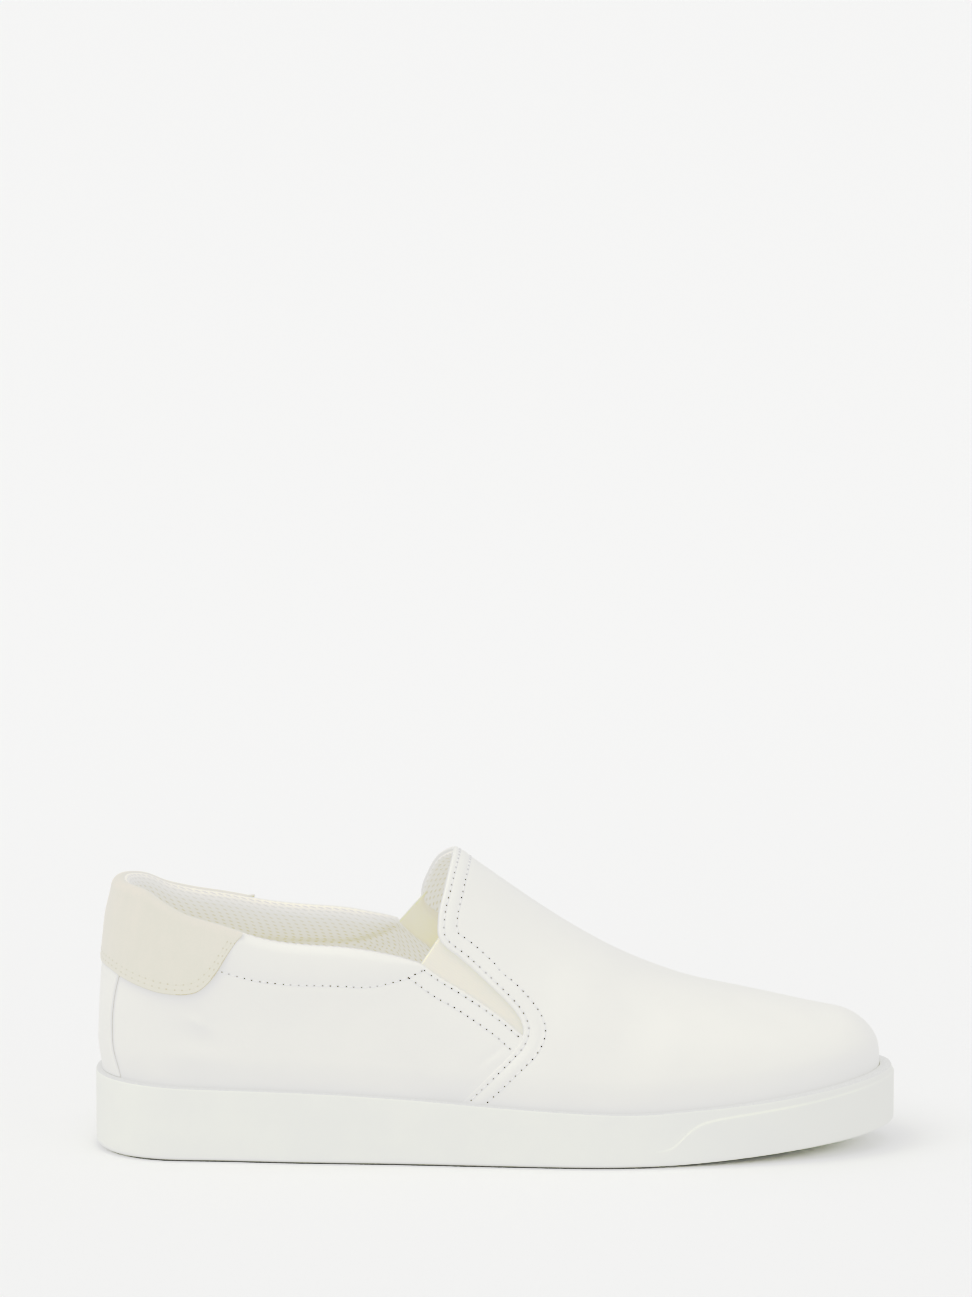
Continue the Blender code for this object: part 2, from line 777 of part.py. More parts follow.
def make_insole(finish):
    """The sock on the floor of the cup, inside the upper's wall and dished under the foot."""
    shares = rounded_shares(STATIONS)
    inset = max(WALL, VAMP_WALL) + CLEARANCE
    outer_edge = [foot_point(share, OUTER, 0.0, inset) for share in shares]
    inner_edge = [foot_point(share, INNER, 0.0, inset) for share in shares]

    def layer(above, dish):
        rows = []
        for across in even_shares(6):
            row = []
            for share, outer, inner in zip(shares, outer_edge, inner_edge):
                place = outer.lerp(inner, across)
                sag = dish * (1 - (2 * across - 1) ** 2) * ramp(share, 0.0, 0.1) * (1 - ramp(share, 0.9, 1.0))
                row.append(Vector((*place, floor_height(share) + CLEARANCE + above - sag)))
            rows.append(row)
        return rows

    return sheet_solid("insole", layer(INSOLE_THICKNESS, INSOLE_DISH), layer(0.0, 0.0), finish)


def main():
    for old in list(bpy.data.objects):
        bpy.data.objects.remove(old)
    leather = material("white leather", (0.86, 0.86, 0.82), 0.38)
    suede = material("off-white suede", (0.76, 0.73, 0.64), 0.92)
    elastic = material("ivory elastic", (0.83, 0.81, 0.70), 0.75)
    rubber = material("white sole", (0.80, 0.82, 0.76), 0.48)
    knit = material("cream knit", (0.74, 0.71, 0.60), 0.88)
    make_sole(rubber)
    make_insole(knit)
    make_upper(leather)
    make_gore("gore_lateral", OUTER, elastic)
    make_gore("gore_medial", INNER, elastic)
    make_heel_patch(suede)
    make_backstay(leather)


main()
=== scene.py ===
"""Slip-on sneaker, right shoe: the looks of every piece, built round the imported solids.

+X runs from the heel to the toe, +Y from the outer side of the foot to the inner side, and +Z up, in metres.
The file is laid out as an add-on: sizes and colours are properties, each piece or group of pieces has its
operator, and main() runs them all in order.
"""

import math
from collections import namedtuple

import bmesh
import bpy
import numpy as np
from mathutils.kdtree import KDTree
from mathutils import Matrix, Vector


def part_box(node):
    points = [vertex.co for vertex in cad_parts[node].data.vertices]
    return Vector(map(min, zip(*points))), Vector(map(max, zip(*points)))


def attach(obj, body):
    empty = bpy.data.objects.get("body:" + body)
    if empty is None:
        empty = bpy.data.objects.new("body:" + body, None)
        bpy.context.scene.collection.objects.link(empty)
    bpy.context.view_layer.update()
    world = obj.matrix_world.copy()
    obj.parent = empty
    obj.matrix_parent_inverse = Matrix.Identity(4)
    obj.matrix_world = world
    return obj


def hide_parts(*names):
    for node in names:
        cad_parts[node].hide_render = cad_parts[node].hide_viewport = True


bl_info = {
    "name": "Slip-on sneaker",
    "version": (1, 0, 0),
    "blender": (4, 5, 0),
    "location": "3D View > Sidebar > Sneaker",
    "description": "Builds a leather slip-on sneaker with elastic gores and a moulded cup sole",
    "category": "Add Mesh",
}

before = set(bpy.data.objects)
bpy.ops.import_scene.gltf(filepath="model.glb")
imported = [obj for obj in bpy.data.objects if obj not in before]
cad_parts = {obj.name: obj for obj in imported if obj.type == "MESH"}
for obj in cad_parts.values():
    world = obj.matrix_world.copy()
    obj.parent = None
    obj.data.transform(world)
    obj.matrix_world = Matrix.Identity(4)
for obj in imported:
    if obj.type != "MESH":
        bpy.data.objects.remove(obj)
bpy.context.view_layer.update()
SOLE_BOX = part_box("sole")

MM = 0.001
OUTER = -1.0
INNER = 1.0
BODY = "root"
# Edges that turn by more than this are shown sharp
SHARP_ANGLE = math.radians(48)
# Where the flat cloth begins, in mm, so that its places stay positive
CLOTH_START = 200.0

# How full the rounded ends are: 2 is an ellipse, and more is fuller
HEEL_FULLNESS = 2.25
TOE_FULLNESS = 2.15
TOE_CAP_FULLNESS = 2.1

# The sole from heel to toe, by share of its length. Outer and inner are half widths, as the share of the way
# from the heel's to the ball's. Cup is the height of its side, as the share of the way from the toe's to the
# heel's, and floor that of its floor, from the ball's to the heel's. Lip is how far the upper stands inside the
# sole, as the share of the way from the heel's to the side's.
SolePlan = namedtuple("SolePlan", "share outer inner cup floor lip")
SOLE_PLAN = (
    SolePlan(0.00, 0.00, 0.00, 1.00, 1.00, 0.00),
    SolePlan(0.06, 0.00, 0.00, 0.90, 1.00, 0.10),
    SolePlan(0.13, 0.04, 0.00, 0.80, 1.00, 0.60),
    SolePlan(0.25, 0.30, 0.02, 0.74, 0.92, 1.00),
    SolePlan(0.38, 0.50, 0.00, 0.55, 0.62, 1.00),
    SolePlan(0.51, 0.80, 0.42, 0.27, 0.22, 1.00),
    SolePlan(0.63, 1.00, 0.90, 0.07, 0.00, 1.00),
    SolePlan(0.70, 0.94, 1.00, 0.00, 0.00, 1.00),
    SolePlan(0.76, 0.84, 0.98, 0.00, 0.00, 1.00),
    SolePlan(0.82, 0.71, 0.89, 0.00, 0.00, 1.00),
    SolePlan(0.90, 0.62, 0.74, 0.03, 0.00, 1.00),
    SolePlan(1.00, 0.60, 0.66, 0.10, 0.00, 1.00),
)
# Where the toe spring starts, as a share of the length, and how it curves
SPRING_START = 0.64
SPRING_CURVE = 1.55
# Where the heel's lift ends, where the toe's swing and its deeper lip start, and between which shares of the
# length the vamp's step rises
HEEL_LIFT_END = 0.110
TOE_SHIFT_START = 0.62
TOE_LIP_START = 0.62
LAP_START = 0.385
LAP_END = 0.455

# The raised toe bumper: how far its upper edge lies below the rim, as a share of the toe's cup height, and how
# much of the step stands there.
Bumper = namedtuple("Bumper", "share drop step")
BUMPER = (
    Bumper(0.000, 0.70, 0.0),
    Bumper(0.690, 0.70, 0.0),
    Bumper(0.716, 0.66, 0.5),
    Bumper(0.736, 0.42, 0.9),
    Bumper(0.752, 0.26, 1.0),
    Bumper(0.775, 0.19, 1.0),
    Bumper(0.820, 0.16, 1.0),
    Bumper(0.900, 0.14, 1.0),
    Bumper(1.000, 0.10, 1.0),
)

# The last: the height of its top line, as the share of the way from the toe's to the instep's, how far the
# ridge lies to the inner side, as a share of the toe's shift, and how full its cross section is.
LastPlan = namedtuple("LastPlan", "share ridge shift fullness")
LAST_PLAN = (
    LastPlan(0.000, 1.86, 0.0, 2.00),
    LastPlan(0.200, 1.76, 0.0, 2.00),
    LastPlan(0.300, 1.50, 0.2, 2.00),
    LastPlan(0.400, 1.17, 0.6, 2.00),
    LastPlan(0.449, 0.997, 0.8, 2.00),
    LastPlan(0.501, 0.811, 1.0, 2.005),
    LastPlan(0.551, 0.633, 1.2, 2.02),
    LastPlan(0.601, 0.472, 1.4, 2.05),
    LastPlan(0.651, 0.334, 1.5, 2.10),
    LastPlan(0.701, 0.223, 1.5, 2.15),
    LastPlan(0.751, 0.144, 1.4, 2.20),
    LastPlan(0.801, 0.092, 1.3, 2.25),
    LastPlan(0.852, 0.040, 1.2, 2.30),
    LastPlan(0.902, -0.009, 1.1, 2.35),
    LastPlan(1.000, -0.080, 1.0, 2.40),
)

# The collar line on each side, as the share of the way from the side's height to the heel's.
Collar = namedtuple("Collar", "share outer inner")
COLLAR = (
    Collar(0.000, 0.94, 0.94),
    Collar(0.040, 0.90, 0.83),
    Collar(0.075, 0.71, 0.65),
    Collar(0.110, 0.51, 0.55),
    Collar(0.160, 0.315, 0.445),
    Collar(0.220, 0.085, 0.295),
    Collar(0.260, 0.025, 0.245),
    Collar(0.310, -0.01, 0.205),
    Collar(0.345, -0.07, 0.12),
    Collar(0.376, -0.15, 0.005),
    Collar(0.408, -0.28, -0.19),
)

# The edges that bound the gore slots, seen from the side, as shares of the instep's height and of the sole's
# length.
EdgeRow = namedtuple("EdgeRow", "height outer inner")
VAMP_EDGE = (
    EdgeRow(0.140, 0.440, 0.440),
    EdgeRow(0.220, 0.461, 0.461),
    EdgeRow(0.310, 0.493, 0.493),
    EdgeRow(0.370, 0.515, 0.513),
    EdgeRow(0.420, 0.531, 0.527),
    EdgeRow(0.455, 0.535, 0.530),
    EdgeRow(0.490, 0.531, 0.525),
    EdgeRow(0.530, 0.520, 0.513),
    EdgeRow(0.600, 0.493, 0.482),
    EdgeRow(0.680, 0.460, 0.445),
    EdgeRow(0.740, 0.4325, 0.4145),
    EdgeRow(0.770, 0.4290, 0.4065),
    EdgeRow(0.820, 0.4300, 0.4070),
    EdgeRow(0.900, 0.4370, 0.4165),
    EdgeRow(0.960, 0.4430, 0.4290),
    EdgeRow(1.000, 0.4480, 0.4480),
)
GORE_TOP = {OUTER: 0.755, INNER: 0.810}
SlotRow = namedtuple("SlotRow", "share height")
OUTER_SLOT = (
    SlotRow(0.408, 0.672),
    SlotRow(0.432, 0.625),
    SlotRow(0.456, 0.587),
    SlotRow(0.481, 0.545),
    SlotRow(0.506, 0.499),
    SlotRow(0.528, 0.451),
    SlotRow(0.580, 0.338),
)
INNER_SLOT = (
    SlotRow(0.378, 0.716),
    SlotRow(0.405, 0.652),
    SlotRow(0.440, 0.589),
    SlotRow(0.475, 0.534),
    SlotRow(0.502, 0.490),
    SlotRow(0.523, 0.450),
    SlotRow(0.575, 0.337),
)

# The lower edge of the suede patch, as shares of the sole's length and of the heel's collar height.
PatchRow = namedtuple("PatchRow", "share height")
PATCH_LOW_EDGE = (
    PatchRow(0.000, 0.684),
    PatchRow(0.012, 0.676),
    PatchRow(0.030, 0.655),
    PatchRow(0.055, 0.631),
    PatchRow(0.085, 0.611),
    PatchRow(0.110, 0.606),
    PatchRow(0.128, 0.613),
    PatchRow(0.141, 0.638),
    PatchRow(0.153, 0.677),
    PatchRow(0.166, 0.740),
    PatchRow(0.179, 0.795),
    PatchRow(0.190, 0.835),
)

# Soft dents and swellings of the leather: where on the shoe, how large, how high, and how they lie. Share and
# height are those of the sole's length and the instep's height. Turn is in degrees, and more of it lifts the
# end towards the toe.
Swell = namedtuple("Swell", "side share height long wide rise turn")
QUARTER_SWELLS = (
    Swell(OUTER, 0.127, 0.415, 0.0075, 0.0036, -0.00070, -24),
    Swell(OUTER, 0.133, 0.467, 0.0045, 0.0017, 0.00120, -33),
    Swell(OUTER, 0.128, 0.356, 0.0090, 0.0036, 0.00045, -10),
    Swell(OUTER, 0.496, 0.378, 0.0050, 0.0010, -0.00040, 40),
    Swell(OUTER, 0.498, 0.352, 0.0050, 0.0010, 0.00040, 40),
    Swell(OUTER, 0.270, 0.500, 0.060, 0.0120, -0.00030, 4),
    Swell(OUTER, 0.400, 0.400, 0.030, 0.0080, 0.00025, -40),
    Swell(INNER, 0.160, 0.420, 0.022, 0.0070, -0.00030, 30),
    Swell(INNER, 0.260, 0.480, 0.050, 0.0110, 0.00025, -6),
    Swell(INNER, 0.390, 0.380, 0.028, 0.0080, -0.00025, 38),
)
VAMP_SWELLS = (
    Swell(OUTER, 0.545, 0.470, 0.020, 0.0070, -0.00035, 70),
    Swell(OUTER, 0.590, 0.420, 0.030, 0.0090, 0.00030, 60),
    Swell(OUTER, 0.650, 0.350, 0.030, 0.0080, -0.00025, 48),
    Swell(INNER, 0.540, 0.470, 0.020, 0.0070, -0.00035, 70),
    Swell(INNER, 0.640, 0.380, 0.032, 0.0090, 0.00030, 50),
)


def length_property(name, default, description):
    return bpy.props.FloatProperty(
        name=name,
        default=default,
        min=0.0,
        precision=5,
        subtype="DISTANCE",
        unit="LENGTH",
        description=description,
    )


def colour_property(name, default, description):
    return bpy.props.FloatVectorProperty(
        name=name,
        default=default,
        size=3,
        min=0.0,
        max=1.0,
        subtype="COLOR",
        description=description,
    )


class SneakerSizes(bpy.types.PropertyGroup):
    """The sizes of the shoe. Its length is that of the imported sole."""

    sole_length: length_property("Sole length", SOLE_BOX[1].x - SOLE_BOX[0].x, "From the heel to the toe")
    ball_width: length_property("Ball width", 0.0910, "Twice the sole's half width at the ball")
    heel_width: length_property("Heel width", 0.0652, "Width of the sole at the heel")
    heel_round: length_property("Heel round", 0.0340, "Length of the rounded end of the heel")
    toe_round: length_property("Toe round", 0.0640, "Length of the rounded end of the toe")
    toe_shift: length_property("Toe shift", 0.0045, "How far the toe swings to the inner side")
    toe_spring: length_property("Toe spring", 0.0080, "How far the tip of the sole stands off the floor")
    heel_lift: length_property("Heel lift", 0.0014, "How far the back of the sole stands off the floor")
    cup_heel: length_property("Cup height, heel", 0.0272, "Height of the sole's side at the heel")
    cup_toe: length_property("Cup height, toe", 0.0186, "Height of the sole's side at the toe")
    floor_heel: length_property("Floor height, heel", 0.0150, "Height of the cup's floor at the heel")
    floor_ball: length_property("Floor height, ball", 0.0090, "Height of the cup's floor at the ball")
    rim_round: length_property("Rim round", 0.0012, "Radius of the rim's outer edge")
    bottom_round: length_property("Bottom round", 0.0014, "Radius of the sole's lower edge")
    bumper_step: length_property("Bumper step", 0.0008, "How far the toe bumper stands proud")
    bumper_ledge: length_property("Bumper ledge", 0.0009, "Height of the bumper's sloping upper edge")
    groove_depth: length_property("Groove depth", 0.0012, "Depth of the grooves across the tread")
    groove_width: length_property("Groove width", 0.0024, "Width of the grooves across the tread")
    groove_margin: length_property("Groove margin", 0.0100, "How far the grooves end from the sole's edge")
    instep: length_property("Instep height", 0.1024, "Height of the last at the throat")
    toe_height: length_property("Toe height", 0.0466, "Height of the last at the toe")
    toe_cap: length_property("Toe cap length", 0.0175, "Length in which the toe comes down to the rim")
    heel_collar: length_property("Heel collar height", 0.0945, "Height of the collar at the heel")
    side_collar: length_property("Side collar height", 0.0745, "Height of the collar at the sides")
    lip_heel: length_property("Lip at the heel", 0.0018, "How far the upper stands in at the heel")
    lip_side: length_property("Lip at the side", 0.0012, "How far the upper stands in at the sides")
    lip_toe: length_property("Lip at the toe", 0.0038, "How far the upper stands in at the toe")
    tuck: length_property("Tuck", 0.0013, "How far the upper pulls in at the rim")
    tuck_height: length_property("Tuck height", 0.0110, "Height over which the upper pulls in at the rim")
    wall: length_property("Wall", 0.0022, "Thickness of the quarters with their lining")
    vamp_step: length_property("Vamp step", 0.0010, "How far the vamp stands proud of the quarters")
    vamp_wall: length_property("Vamp wall", 0.0029, "Thickness of the vamp with its lining")
    collar_pad: length_property("Collar pad", 0.0058, "Thickness of the padded collar")
    pad_depth: length_property("Pad depth", 0.0240, "How far the padding reaches down from the collar line")
    leather: length_property("Leather", 0.0010, "Thickness of the leather")
    patch: length_property("Patch", 0.0012, "Thickness of the suede patch")
    backstay: length_property("Backstay", 0.0009, "Thickness of the backstay")
    backstay_top: length_property("Backstay width, top", 0.0440, "Width of the backstay at its ends")
    backstay_waist: length_property("Backstay width, waist", 0.0375, "Width of the backstay halfway up")
    insole: length_property("Insole", 0.0045, "Thickness of the insole")
    insole_dish: length_property("Insole dish", 0.0025, "How far the insole is dished under the foot")
    clearance: length_property("Clearance", 0.0003, "Gap between pieces that meet")
    stitch_pitch: length_property("Stitch pitch", 0.0027, "Distance from one needle hole to the next")
    thread: length_property("Thread", 0.00045, "Diameter of the sewing thread")
    needle: length_property("Needle hole", 0.00074, "Length of a needle hole")


class SneakerColours(bpy.types.PropertyGroup):
    """The colours of the shoe, as linear values."""

    leather: colour_property("Leather", (0.858, 0.850, 0.785), "White leather of vamp and quarters")
    suede: colour_property("Suede", (0.764, 0.694, 0.405), "Suede of the heel patch")
    knit: colour_property("Knit", (0.985, 0.947, 0.795), "Knitted lining")
    elastic: colour_property("Elastic", (0.856, 0.808, 0.525), "Elastic of the gores")
    # Lighter and yellower than the face: partly the back's own colour, partly painted light shining through
    elastic_back: colour_property("Elastic back", (0.990, 0.825, 0.595), "Brushed back of the elastic")
    elastic_edge: colour_property("Elastic edge", (0.980, 0.915, 0.500), "Free edge of the elastic")
    rubber: colour_property("Rubber", (0.836, 0.844, 0.764), "Moulded sole")
    sock: colour_property("Insole", (0.940, 0.910, 0.830), "Top of the insole")
    thread: colour_property("Thread", (0.900, 0.895, 0.860), "Sewing thread")
    hole: colour_property("Needle hole", (0.058, 0.049, 0.036), "Shadow in the needle holes")
    seam: colour_property("Seam", (0.330, 0.300, 0.250), "Shadow in the seams of the backstay")
    # The cut edge's colour is partly its own and partly painted shade
    raw_edge: colour_property("Raw edge", (0.370, 0.300, 0.205), "Cut edge of the suede")
    # Painted shadow in the needle holes of the suede
    suede_hole: colour_property("Suede needle hole", (0.430, 0.340, 0.230), "Needle holes in the suede")
    floor: colour_property("Floor", (0.905, 0.905, 0.899), "Studio floor")


def lerp(start, end, share):
    return start + (end - start) * share


def ramp(value, start, end):
    """0 before start, 1 after end, and a smooth rise between them."""
    share = np.clip((value - start) / (end - start), 0.0, 1.0)
    return share * share * (3.0 - 2.0 * share)


def round_off(reach, fullness):
    """How much of the full height is left at this reach, 0 to 1, along a rounded end."""
    return np.maximum(0.0, 1.0 - np.clip(reach, 0.0, 1.0) ** fullness) ** (1.0 / fullness)


def unit(vectors):
    """The vectors at length 1."""
    return vectors / np.maximum(np.linalg.norm(vectors, axis=-1, keepdims=True), 1e-12)


def run_along(line):
    """How far along a line each of its points lies."""
    return np.concatenate([[0], np.cumsum(np.linalg.norm(np.diff(line, axis=0), axis=-1))])


class Curve:
    """A smooth curve through the rows of a table, with no overshoot between them."""

    def __init__(self, rows, key, column):
        self.keys = np.array([getattr(row, key) for row in rows], float)
        self.values = np.array([getattr(row, column) for row in rows], float)
        steps = np.diff(self.values) / np.diff(self.keys)
        before, after = steps[:-1], steps[1:]
        total = np.where(before * after > 0.0, before + after, 1.0)
        inner = np.where(before * after > 0.0, 2.0 * before * after / total, 0.0)
        self.slopes = np.concatenate([steps[:1], inner, steps[-1:]])

    def __call__(self, value):
        value = np.clip(value, self.keys[0], self.keys[-1])
        i = np.clip(np.searchsorted(self.keys, value, side="right") - 1, 0, len(self.keys) - 2)
        width = self.keys[i + 1] - self.keys[i]
        t = (value - self.keys[i]) / width
        start = (1 + 2 * t) * (1 - t) ** 2 * self.values[i] + t * (1 - t) ** 2 * width * self.slopes[i]
        end = t * t * (3 - 2 * t) * self.values[i + 1] + t * t * (t - 1) * width * self.slopes[i + 1]
        return start + end


class Softened:
    """A curve with its bends eased out, for surfaces whose gloss would show them."""

    def __init__(self, curve, width):
        count = 1201
        margin = 4 * width
        keys = np.linspace(curve.keys[0] - margin, curve.keys[-1] + margin, count)
        low, high = curve(curve.keys[0]), curve(curve.keys[-1])
        inside = curve(keys)
        inside = np.where(keys < curve.keys[0], low + curve.slopes[0] * (keys - curve.keys[0]), inside)
        inside = np.where(keys > curve.keys[-1], high + curve.slopes[-1] * (keys - curve.keys[-1]), inside)
        step = keys[1] - keys[0]
        reach = np.arange(-int(3 * width / step), int(3 * width / step) + 1) * step
        bell = np.exp(-0.5 * (reach / width) ** 2)
        padded = np.pad(inside, len(reach) // 2, mode="edge")
        self.keys, self.values = keys, np.convolve(padded, bell / bell.sum(), mode="valid")

    def __call__(self, value):
        return np.interp(value, self.keys, self.values)


class Last:
    """The form that the shoe is built on. Points go by share of the length, side, and level or height."""

    def __init__(self, sizes):
        self.sizes = sizes
        self.width = {
            OUTER: Softened(Curve(SOLE_PLAN, "share", "outer"), 0.012),
            INNER: Softened(Curve(SOLE_PLAN, "share", "inner"), 0.012),
        }
        self.cup = Softened(Curve(SOLE_PLAN, "share", "cup"), 0.015)
        self.floor = Softened(Curve(SOLE_PLAN, "share", "floor"), 0.015)
        self.lip_share = Curve(SOLE_PLAN, "share", "lip")
        self.ridge = Softened(Curve(LAST_PLAN, "share", "ridge"), 0.010)
        self.shift = Softened(Curve(LAST_PLAN, "share", "shift"), 0.015)
        self.fullness = Softened(Curve(LAST_PLAN, "share", "fullness"), 0.015)
        self.collar = {
            OUTER: Softened(Curve(COLLAR, "share", "outer"), 0.008),
            INNER: Softened(Curve(COLLAR, "share", "inner"), 0.008),
        }
        self.slot = {
            OUTER: Softened(Curve(OUTER_SLOT, "share", "height"), 0.004),
            INNER: Softened(Curve(INNER_SLOT, "share", "height"), 0.004),
        }
        self.slot_start = {OUTER: OUTER_SLOT[0].share, INNER: INNER_SLOT[0].share}
        self.vamp_line = {
            OUTER: Softened(Curve(VAMP_EDGE, "height", "outer"), 0.008),
            INNER: Softened(Curve(VAMP_EDGE, "height", "inner"), 0.008),
        }
        self.patch_line = Softened(Curve(PATCH_LOW_EDGE, "share", "height"), 0.003)
        shares = np.arange(400) / 400
        reach = {
            side: np.max(self.half_width(shares, side) + side * self.toe_swing(shares))
            for side in (OUTER, INNER)
        }
        self.centre_shift = (reach[OUTER] - reach[INNER]) / 2

    def half_width(self, share, side):
        """How far the sole's outline lies from its middle line on this side."""
        sizes = self.sizes
        outer, inner = self.width[OUTER](share), self.width[INNER](share)
        width = lerp(sizes.heel_width, sizes.ball_width, np.where(side == OUTER, outer, inner)) / 2
        heel = round_off(1 - share * sizes.sole_length / sizes.heel_round, HEEL_FULLNESS)
        toe = round_off(1 - (1 - share) * sizes.sole_length / sizes.toe_round, TOE_FULLNESS)
        return width * heel * toe

    def toe_swing(self, share):
        """How far the sole swings to the inner side towards the toe."""
        return self.sizes.toe_shift * ramp(share, TOE_SHIFT_START, 1.0)

    def outline(self, share, side):
        """The sole's outline, seen from above."""
        x = (share - 0.5) * self.sizes.sole_length
        y = side * self.half_width(share, side) + self.toe_swing(share) + self.centre_shift
        return np.stack([x, y], axis=-1)

    def inward(self, share, side):
        """The direction from the outline into the shoe, seen from above."""
        step = np.minimum(0.0015, np.minimum(share, 1 - share))
        step = np.maximum(step, 1e-7)
        ahead = self.outline(np.minimum(share + step, 1), side)
        along = ahead - self.outline(np.maximum(share - step, 0), side)
        found = unit(np.stack([side * along[..., 1], -side * along[..., 0]], axis=-1))
        heel = (share <= 0.0)[..., None]
        toe = (share >= 1.0)[..., None]
        found = np.where(heel, np.array([1.0, 0.0]), found)
        return np.where(toe, np.array([-1.0, 0.0]), found)

    def toe_lift(self, share):
        """How far the toe spring has lifted the sole here."""
        lift = np.maximum(0.0, (share - SPRING_START) / (1 - SPRING_START))
        return self.sizes.toe_spring * lift**SPRING_CURVE

    def bottom(self, share):
        """The underside of the sole, which also lifts a little at the back of the heel."""
        return self.toe_lift(share) + self.sizes.heel_lift * np.maximum(0.0, 1 - share / HEEL_LIFT_END) ** 2

    def rim(self, share):
        """The height of the cup's rim."""
        return self.toe_lift(share) + lerp(self.sizes.cup_toe, self.sizes.cup_heel, self.cup(share))

    def cup_floor(self, share):
        """The height of the floor inside the cup."""
        return self.toe_lift(share) + lerp(self.sizes.floor_ball, self.sizes.floor_heel, self.floor(share))

    def lip(self, share):
        """How far the upper stands inside the sole's outline."""
        side = lerp(self.sizes.lip_heel, self.sizes.lip_side, self.lip_share(share))
        return lerp(side, self.sizes.lip_toe, ramp(share, TOE_LIP_START, 1.0))

    def ridge_height(self, share):
        """The height of the last's top line, which comes down to the rim at the toe."""
        sizes = self.sizes
        ridge = lerp(sizes.toe_height, sizes.instep, self.ridge(share))
        rim = self.rim(share)
        cap = round_off(1 - (1 - share) * sizes.sole_length / sizes.toe_cap, TOE_CAP_FULLNESS)
        return rim + (ridge - rim) * cap

    def foot(self, share, side, rise, inset=0.0):
        """The upper's outline seen from above, this far above the rim and this far inside its wall."""
        sizes = self.sizes
        lap = sizes.vamp_step * ramp(share, LAP_START, LAP_END)
        tucked = sizes.tuck * (1 - ramp(rise, 0.0, sizes.tuck_height))
        depth = self.lip(share) + lap + tucked + inset
        return self.outline(share, side) + self.inward(share, side) * depth[..., None]

    def axis(self, share, rise):
        """The point that the walls lean towards."""
        sizes = self.sizes
        one = np.ones_like(share)
        outer, inner = self.foot(share, OUTER * one, rise), self.foot(share, INNER * one, rise)
        heel_middle = sizes.heel_round - sizes.sole_length / 2
        shift = sizes.toe_shift * self.shift(share) * round_off(share, 8)
        x = np.maximum((outer[..., 0] + inner[..., 0]) / 2, heel_middle)
        return np.stack([x, (outer[..., 1] + inner[..., 1]) / 2 + shift], axis=-1)

    def surface(self, share, side, level):
        """Points of the last. Level 0 is the cup's rim, 1 the ridge and -1 the lower edge of the upper."""
        rim = self.rim(share)
        rise = np.maximum(0.0, level) * (self.ridge_height(share) - rim)
        foot, axis = self.foot(share, side, rise), self.axis(share, rise)
        reach = round_off(np.maximum(0.0, level), self.fullness(share))
        plan = np.where((level <= 0)[..., None], foot, axis + (foot - axis) * reach[..., None])
        low = lerp(rim, self.cup_floor(share) + self.sizes.clearance, np.maximum(0.0, -level))
        return np.concatenate([plan, np.where(level <= 0, low, rim + rise)[..., None]], axis=-1)

    def outward(self, share, side, level):
        """The directions square to the last, out of the shoe."""
        near, step = 0.0006, 0.004
        heel, toe = share < near, share > 1 - near
        middle = np.where(heel, near, np.where(toe, 1 - near, share))
        ahead = self.surface(np.where(heel | toe, middle, share + near), np.where(toe, -side, side), level)
        behind = self.surface(np.where(heel | toe, middle, share - near), np.where(heel, -side, side), level)
        top = level > 1 - step
        above = self.surface(share, np.where(top, -side, side), np.where(top, 1 - step, level + step))
        below = self.surface(share, side, np.where(top, 1 - step, level - step))
        found = unit(np.cross(ahead - behind, above - below) * -side[..., None])
        return np.where((share >= 1.0)[..., None], np.array([1.0, 0.0, 0.0]), found)

    def lifted(self, share, side, level, lift):
        """Points this far outside the last. A negative lift is inside it."""
        values = [np.asarray(value, float) for value in (share, side, level, lift)]
        share, side, level, lift = np.broadcast_arrays(*values)
        return self.surface(share, side, level) + self.outward(share, side, level) * lift[..., None]

    def level_at(self, share, height):
        """The level of the last at this height above the floor."""
        rim = self.rim(share)
        low = (height - rim) / (rim - self.cup_floor(share) - self.sizes.clearance)
        high = (height - rim) / (self.ridge_height(share) - rim)
        return np.where(height <= rim, low, high)

    def wall(self, share, side, height, lift):
        """Points of the wall at these heights above the floor."""
        return self.lifted(share, side, self.level_at(share, height), lift)

    def pick(self, curves, side, value):
        """The value of the curve of each point's own side."""
        return np.where(side == OUTER, curves[OUTER](value), curves[INNER](value))

    def collar_height(self, share, side):
        """The height of the collar line."""
        return lerp(self.sizes.side_collar, self.sizes.heel_collar, self.pick(self.collar, side, share))

    def slot_height(self, share, side):
        """The height of the gore slot's lower edge."""
        return self.sizes.instep * self.pick(self.slot, side, share)

    def quarter_top(self, share, side):
        """The upper edge of a quarter: the collar, and in front of its corner the gore slot's lower edge."""
        collar = self.collar_height(share, side)
        start = np.where(side == OUTER, self.slot_start[OUTER], self.slot_start[INNER])
        return np.where(share < start, collar, np.minimum(collar, self.slot_height(share, side)))

    def vamp_edge(self, height, side):
        """How far forward the vamp's rear edge lies at this height, as a share of the sole's length."""
        return self.pick(self.vamp_line, side, height / self.sizes.instep)

    def patch_low(self, share):
        """The height of the suede patch's lower edge."""
        return self.sizes.heel_collar * self.patch_line(share)

    def pad(self, share, side, height):
        """The thickness of the wall here: the collar is padded, and the pad dies away at the gore slot."""
        sizes = self.sizes
        start = np.where(side == OUTER, self.slot_start[OUTER], self.slot_start[INNER])
        fade = 1 - ramp(share, start - 0.05, start + 0.02)
        top = self.quarter_top(share, side)
        depth = ramp(height, top - sizes.pad_depth, top - sizes.collar_pad / 2)
        return lerp(sizes.wall, sizes.collar_pad, depth * fade)


def edged(length, step, radius, ends=(True, True)):
    """Places from 0 to 1 along this length, with close lines within the radius of each rounded end."""
    count = max(2, int(round(length / step)))
    places = list(np.linspace(0, 1, count + 1))
    for rounded, start, sign in ((ends[0], 0.0, 1.0), (ends[1], 1.0, -1.0)):
        if rounded:
            close = [start + sign * radius / length * share for share in (0.0, 0.05, 0.2, 0.5, 1.0)]
            places = [p for p in places if abs(p - start) * length > radius * 1.3] + close
    return np.array(sorted(set(places)))


